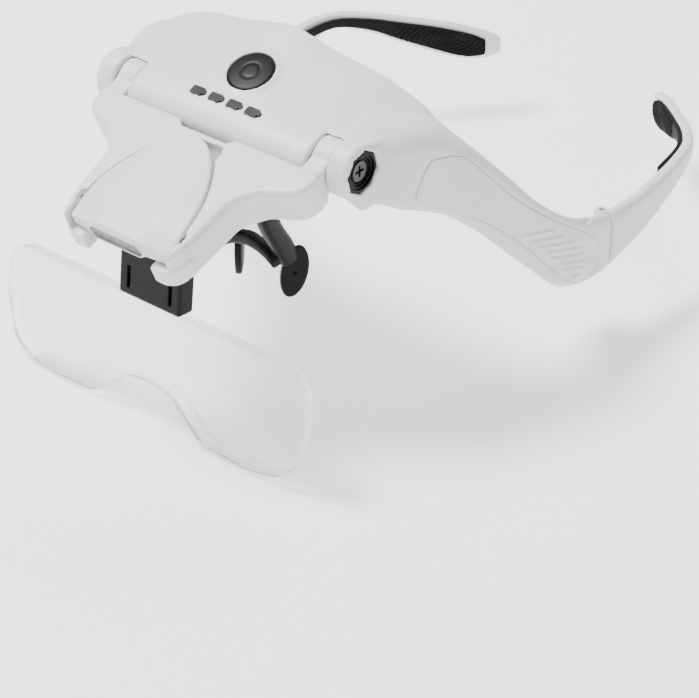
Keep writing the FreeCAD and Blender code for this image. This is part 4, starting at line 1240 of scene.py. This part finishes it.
class VISOR_OT_holder(bpy.types.Operator):
    """Build the black lens holder"""

    bl_idname = "visor.holder"
    bl_label = "Lens holder"

    def execute(self, context):
        holder = make_holder(context.scene.visor_lens_sizes)
        holder.name = "holder_body"
        set_down(holder, "holder", "black_plastic", "lens_holder")
        return {"FINISHED"}


class VISOR_OT_lens(bpy.types.Operator):
    """Build the clear lens plate"""

    bl_idname = "visor.lens"
    bl_label = "Lens"

    def execute(self, context):
        plate = make_lens(context.scene.visor_lens_sizes)
        set_down(plate, "lens", "clear_lens", "magnifier_lens", angle=25)
        return {"FINISHED"}


# --- button, hubs and nose rest ----------------------------------------------------------
def make_button(sizes):
    """Shallow domed cap with a softened rim, a faint ring, a skirt and a stem."""
    radius = sizes.button_radius / MM
    crown = [(radius - 0.35, 0.55)]
    for share in (0.86, 0.72, 0.58, 0.44):
        crown.append((radius * share, 0.9 - 0.35 * share * share))
    crown += [(radius * 0.42, 0.79), (radius * 0.37, 0.79), (radius * 0.35, 0.86),
              (radius * 0.2, 0.89), (0.0, 0.9)]
    profile = [(0.0, -3.9), (1.6, -3.9), (1.6, -1.2), (radius - 1.2, -1.2), (radius - 1.2, -2.4),
               (radius, -2.4), (radius, 0.2), (radius - 0.1, 0.42)] + crown
    return placed(turned("button_cap", profile, 96), on_deck(BUTTON_Y, BUTTON_Z))


def make_hub():
    """Octagonal cap with stepped rings round the sunk screw head."""
    hub = octagon("hub_cap_left", HUB_R, HUB_IN + 0.05, HUB_OUT)
    rounded_edges(hub, 0.35, 2, 20)
    for radius, depth in ((4.7, 0.55), (3.95, 1.05), (3.3, 1.5), (2.75, 2.5)):
        cut(hub, hinge_rod("hub step", radius, HUB_OUT - depth, HUB_OUT + 1))
    return cut(hub, hinge_rod("hub bore", 1.55, HUB_IN - 1, HUB_OUT))


def rounded_leg(name, rows):
    """Leg lofted through (x, y, z, width, depth) stations with soft corners."""
    rings = [[(x + across, y + along, z) for across, along in soft_ring(20, 0.55, wide, deep)]
             for x, y, z, wide, deep in smooth_rows(rows, 4)]
    return loft(name, rings)


PAD_PLACE = (
    Matrix.Translation((9.6, -14.6, -49.0)) @ Matrix.Rotation(math.radians(-36), 4, "Z")
    @ Matrix.Rotation(math.radians(78), 4, "X") @ Matrix.Rotation(math.radians(90), 4, "Y"))
PAD_HALF_WIDE, PAD_HALF_TALL, PAD_HALF_THICK = 3.75, 7.9, 1.25


SADDLE_HALF, SADDLE_Y, SADDLE_DEEP = 9.2, -21.0, 3.5


def make_nose_pad():
    """Oval paddle, dished a little, with a small through hole."""
    deselect()
    bpy.ops.mesh.primitive_uv_sphere_add(segments=64, ring_count=32, radius=1)
    pad = named("nose_pad_soft_left")
    for vertex in pad.data.vertices:
        x, y, z = vertex.co
        rim = max(0.0, 1 - x * x - y * y)
        flat = math.copysign(min(1.0, abs(z) ** 0.35), z) * PAD_HALF_THICK
        vertex.co = (x * PAD_HALF_WIDE, y * PAD_HALF_TALL, flat + 0.35 * (1 - rim))
    cut(pad, rod("pad hole", 0.7, (0, 0, -3), (0, 0, 3), 32))
    return placed(pad, PAD_PLACE)


def make_nose_bridge():
    """Foot in the brow, two legs that run in and back, and an arched saddle."""
    legs = [rounded_leg("leg", [
        (side * 9.5, -27.5, -11.4, 3.9, 7.2), (side * 9.5, -26.7, -22.0, 3.9, 6.6),
        (side * 9.3, -23.6, -31.0, 3.8, 6.6), (side * 9.4, -19.4, -38.5, 3.6, 7.2),
        (side * 9.6, -16.4, -45.0, 3.2, 6.4)]) for side in (1, -1)]
    foot = block("foot", -13, 13, -29.7, -25.3, -11.8, -8.0)
    rings = []
    for k in range(13):
        share = -1 + k / 6
        arch = 1 - share * share
        high, low = -42.5 + 4.9 * arch, -45.2 + 3.6 * arch
        rings.append([(share * SADDLE_HALF, SADDLE_Y + across, (high + low) / 2 + along)
                      for across, along in soft_ring(16, 0.6, SADDLE_DEEP, high - low)])
    bridge = joined(foot, *legs, loft("saddle", rings))
    bridge.name = "nose_rest"
    remeshed(bridge, 0.3, 3)
    return thinned(bridge, 120000)


class VISOR_OT_button(bpy.types.Operator):
    """Build the power button"""

    bl_idname = "visor.button"
    bl_label = "Power button"

    def execute(self, context):
        cap = make_button(context.scene.visor_housing_sizes)
        set_down(cap, "power_button", "black_plastic", "power_button", angle=35)
        return {"FINISHED"}


class VISOR_OT_hubs(bpy.types.Operator):
    """Build the octagonal hinge hubs"""

    bl_idname = "visor.hubs"
    bl_label = "Hinge hubs"

    def execute(self, context):
        hub = make_hub()
        twin = mirrored(hub, "hub_cap_right")
        set_down(hub, "visor", "black_plastic", "hinge_hub_left", angle=25)
        set_down(twin, "visor", "black_plastic", "hinge_hub_right", angle=25)
        return {"FINISHED"}


class VISOR_OT_nose(bpy.types.Operator):
    """Build the nose bridge and its two pads"""

    bl_idname = "visor.nose"
    bl_label = "Nose rest"

    def execute(self, context):
        bridge = make_nose_bridge()
        pad = make_nose_pad()
        twin = mirrored(pad, "nose_pad_soft_right")
        set_down(bridge, "visor", "black_plastic", "nose_bridge")
        set_down(pad, "visor", "black_plastic", "nose_pad_left", angle=40)
        set_down(twin, "visor", "black_plastic", "nose_pad_right", angle=40)
        return {"FINISHED"}


# --- temples -----------------------------------------------------------------------------
PAD_PROUD, PAD_THICK = 0.6, 1.6
# Rings of the pad's grip: middle, heading of the face, reach, pitch, height.
GRIP_MIDDLE = Vector((39.9, 120.0, -49.0))
GRIP_HEADING, GRIP_REACH, GRIP_START, GRIP_PITCH, GRIP_TALL = 42.5, 17.5, 107, 1.9, 0.42


def pad_loft(half, grow=0.0):
    """The rubber pad let into the inner face of the temple."""
    rows = []
    for x, y, heading, top, low in smooth_rows(PAD, 4):
        base = Vector((half + x, FOLD_Y + y, 0)) - facing(heading) * PAD_PROUD
        outline = bar_outline(PAD_THICK + grow, top + grow, low - grow)
        rows.append(section(outline, base.x, base.y, heading))
    return loft("pad", rows)


def make_temple(half):
    bar = bar_loft("temple bar", half, TEMPLE, behind=FOLD_Y)
    remeshed(bar, 0.4, 1)
    pocket = pad_loft(half, 0.12)
    cut(bar, pocket)
    fold = half + FOLD_OUT
    cut(bar, upright_rod("knuckle room", KNUCKLE_ROOM_R, fold, FOLD_Y, -47.65, -41.35))
    eyes = [upright_rod("eye", KNUCKLE_R, fold, FOLD_Y, low, low + 2.4)
            for low in (-50.05, -41.35)]
    bar = joined(bar, *eyes)
    remeshed(bar, 0.34, 1)
    cut(bar, upright_rod("pin bore", FOLD_BORE_R, fold, FOLD_Y, -52, -36, 32))
    bar.name = "temple_bar_left"
    pad = remeshed(pad_loft(half), 0.22, 1)
    pad.name = "temple_pad_soft_left"
    raise_grip(pad)
    return bar, pad


def raise_grip(pad):
    """Raised oval rings about a point near the tip."""
    inward = -facing(GRIP_HEADING)
    for vertex in pad.data.vertices:
        away = vertex.co - GRIP_MIDDLE
        across = away - inward * away.dot(inward)
        if (vertex.normal.dot(inward) > 0.5 and across.length < GRIP_REACH
                and vertex.co.y > GRIP_START):
            flat = Vector((across.x, across.y, across.z * 2.1))
            wave = 0.5 + 0.5 * math.cos(2 * math.pi * flat.length / GRIP_PITCH)
            vertex.co += inward * (GRIP_TALL * wave - 0.1)


class VISOR_OT_temples(bpy.types.Operator):
    """Build the temples and their rubber pads"""

    bl_idname = "visor.temples"
    bl_label = "Temples"

    def execute(self, context):
        bar, pad = make_temple(context.scene.visor_housing_sizes.half_width / MM)
        bar_twin = mirrored(bar, "temple_bar_right")
        pad_twin = mirrored(pad, "temple_pad_soft_right")
        for side, hard, soft in (("left", bar, pad), ("right", bar_twin, pad_twin)):
            body = "temple_" + side
            set_down(hard, body, "white_shell", body, angle=50)
            set_down(soft, body, "soft_black_rubber", "temple_pad_" + side)
        return {"FINISHED"}


# --- parts shown as packed ---------------------------------------------------------------
PACKED = {
    "white_shell": ("housing_cover", "button_ring"),
    "dark_screw": ("cover_screws", "hinge_screw_left", "hinge_screw_right"),
    "smoked_window": ("charge_windows",),
    "bright_steel": ("charge_socket", "lamp_pins", "holder_pins", "temple_pin_left",
                     "temple_pin_right"),
    "bush_nylon": ("ear_bush_left", "ear_bush_right"),
    "clear_window": ("lamp_window",),
    "reflector": ("lamp_reflector",),
    "diode": ("lamp_leds", "indicator_leds"),
    "board": ("lamp_board", "circuit_board"),
    "switch_body": ("tactile_switch",),
    "cell_wrap": ("battery_cell",),
}


class VISOR_OT_packed_parts(bpy.types.Operator):
    """Give every part that is shown as packed its finish"""

    bl_idname = "visor.packed_parts"
    bl_label = "Screws, pins and electronics"

    def execute(self, context):
        for finish, names in PACKED.items():
            for name in names:
                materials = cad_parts[name].data.materials
                materials.clear()
                materials.append(FINISHES[finish])
        return {"FINISHED"}


# --- stage -------------------------------------------------------------------------------
# Lights and camera are placed in metres.
CAMERA_PLACE = (0.349596, -0.412821, 0.284546)
CAMERA_TURN, CAMERA_RISE = math.radians(38.87), math.radians(34.45)


def area_light(name, place, target, size, power):
    deselect()
    bpy.ops.object.light_add(type="AREA", location=place)
    lamp = named(name)
    lamp.data.size = size
    lamp.data.energy = power
    lamp.rotation_euler = (Vector(place) - Vector(target)).to_track_quat("Z", "Y").to_euler()


class VISOR_OT_stage(bpy.types.Operator):
    """Set the pale floor, the soft studio lights and the camera"""

    bl_idname = "visor.stage"
    bl_label = "Stage"

    def execute(self, context):
        low = CAD_BOX[0][2]
        deselect()
        bpy.ops.mesh.primitive_plane_add(size=6.0, location=(0, 0, low - 0.0005))
        floor = applied_place(named("floor"))
        floor.data.materials.append(floor_finish("pale floor",
                                                 tuple(context.scene.visor_finish.floor)))
        context.scene.world = bpy.data.worlds.new("studio")
        context.scene.world.use_nodes = True
        sky = context.scene.world.node_tree.nodes["Background"]
        sky.inputs["Color"].default_value = (1, 1, 1, 1)
        sky.inputs["Strength"].default_value = 0.45
        area_light("key", (-0.5, -0.25, 0.95), (0, 0, -0.02), 0.35, 26.0)
        area_light("fill", (0.9, -0.2, 0.5), (0, 0.02, -0.02), 0.8, 4.0)
        area_light("back", (-0.2, 0.9, 0.7), (0, 0.04, -0.02), 0.6, 5.0)
        deselect()
        bpy.ops.object.camera_add(location=CAMERA_PLACE,
                                  rotation=(math.pi / 2 - CAMERA_RISE, 0, CAMERA_TURN))
        camera = named("camera")
        camera.data.lens = 119.5
        camera.data.sensor_width = 36.0
        camera.data.sensor_fit = "HORIZONTAL"
        context.scene.camera = camera
        return {"FINISHED"}


STEPS = (
    VISOR_OT_housing,
    VISOR_OT_bracket,
    VISOR_OT_lamp,
    VISOR_OT_holder,
    VISOR_OT_lens,
    VISOR_OT_button,
    VISOR_OT_hubs,
    VISOR_OT_nose,
    VISOR_OT_temples,
    VISOR_OT_packed_parts,
    VISOR_OT_stage,
)


class VISOR_PT_pieces(bpy.types.Panel):
    """Lists the visor's pieces in the sidebar"""

    bl_idname = "VISOR_PT_pieces"
    bl_label = "Visor magnifier"
    bl_space_type = "VIEW_3D"
    bl_region_type = "UI"
    bl_category = "Visor"

    def draw(self, context):
        for name, group in SETTINGS.items():
            column = self.layout.column(heading=group.__name__)
            for field in group.__annotations__:
                column.prop(getattr(context.scene, name), field)
        for step in STEPS:
            self.layout.operator(step.bl_idname)


def register():
    for item in (*SETTINGS.values(), *STEPS, VISOR_PT_pieces):
        bpy.utils.register_class(item)
    for name, group in SETTINGS.items():
        setattr(bpy.types.Scene, name, PointerProperty(type=group))


def unregister():
    for name in SETTINGS:
        delattr(bpy.types.Scene, name)
    for item in (VISOR_PT_pieces, *reversed(STEPS), *reversed(SETTINGS.values())):
        bpy.utils.unregister_class(item)


def main():
    register()
    make_finishes(bpy.context.scene.visor_finish)
    for step in STEPS:
        family, call = step.bl_idname.split(".")
        getattr(getattr(bpy.ops, family), call)()
    deselect()


if __name__ == "__main__":
    main()
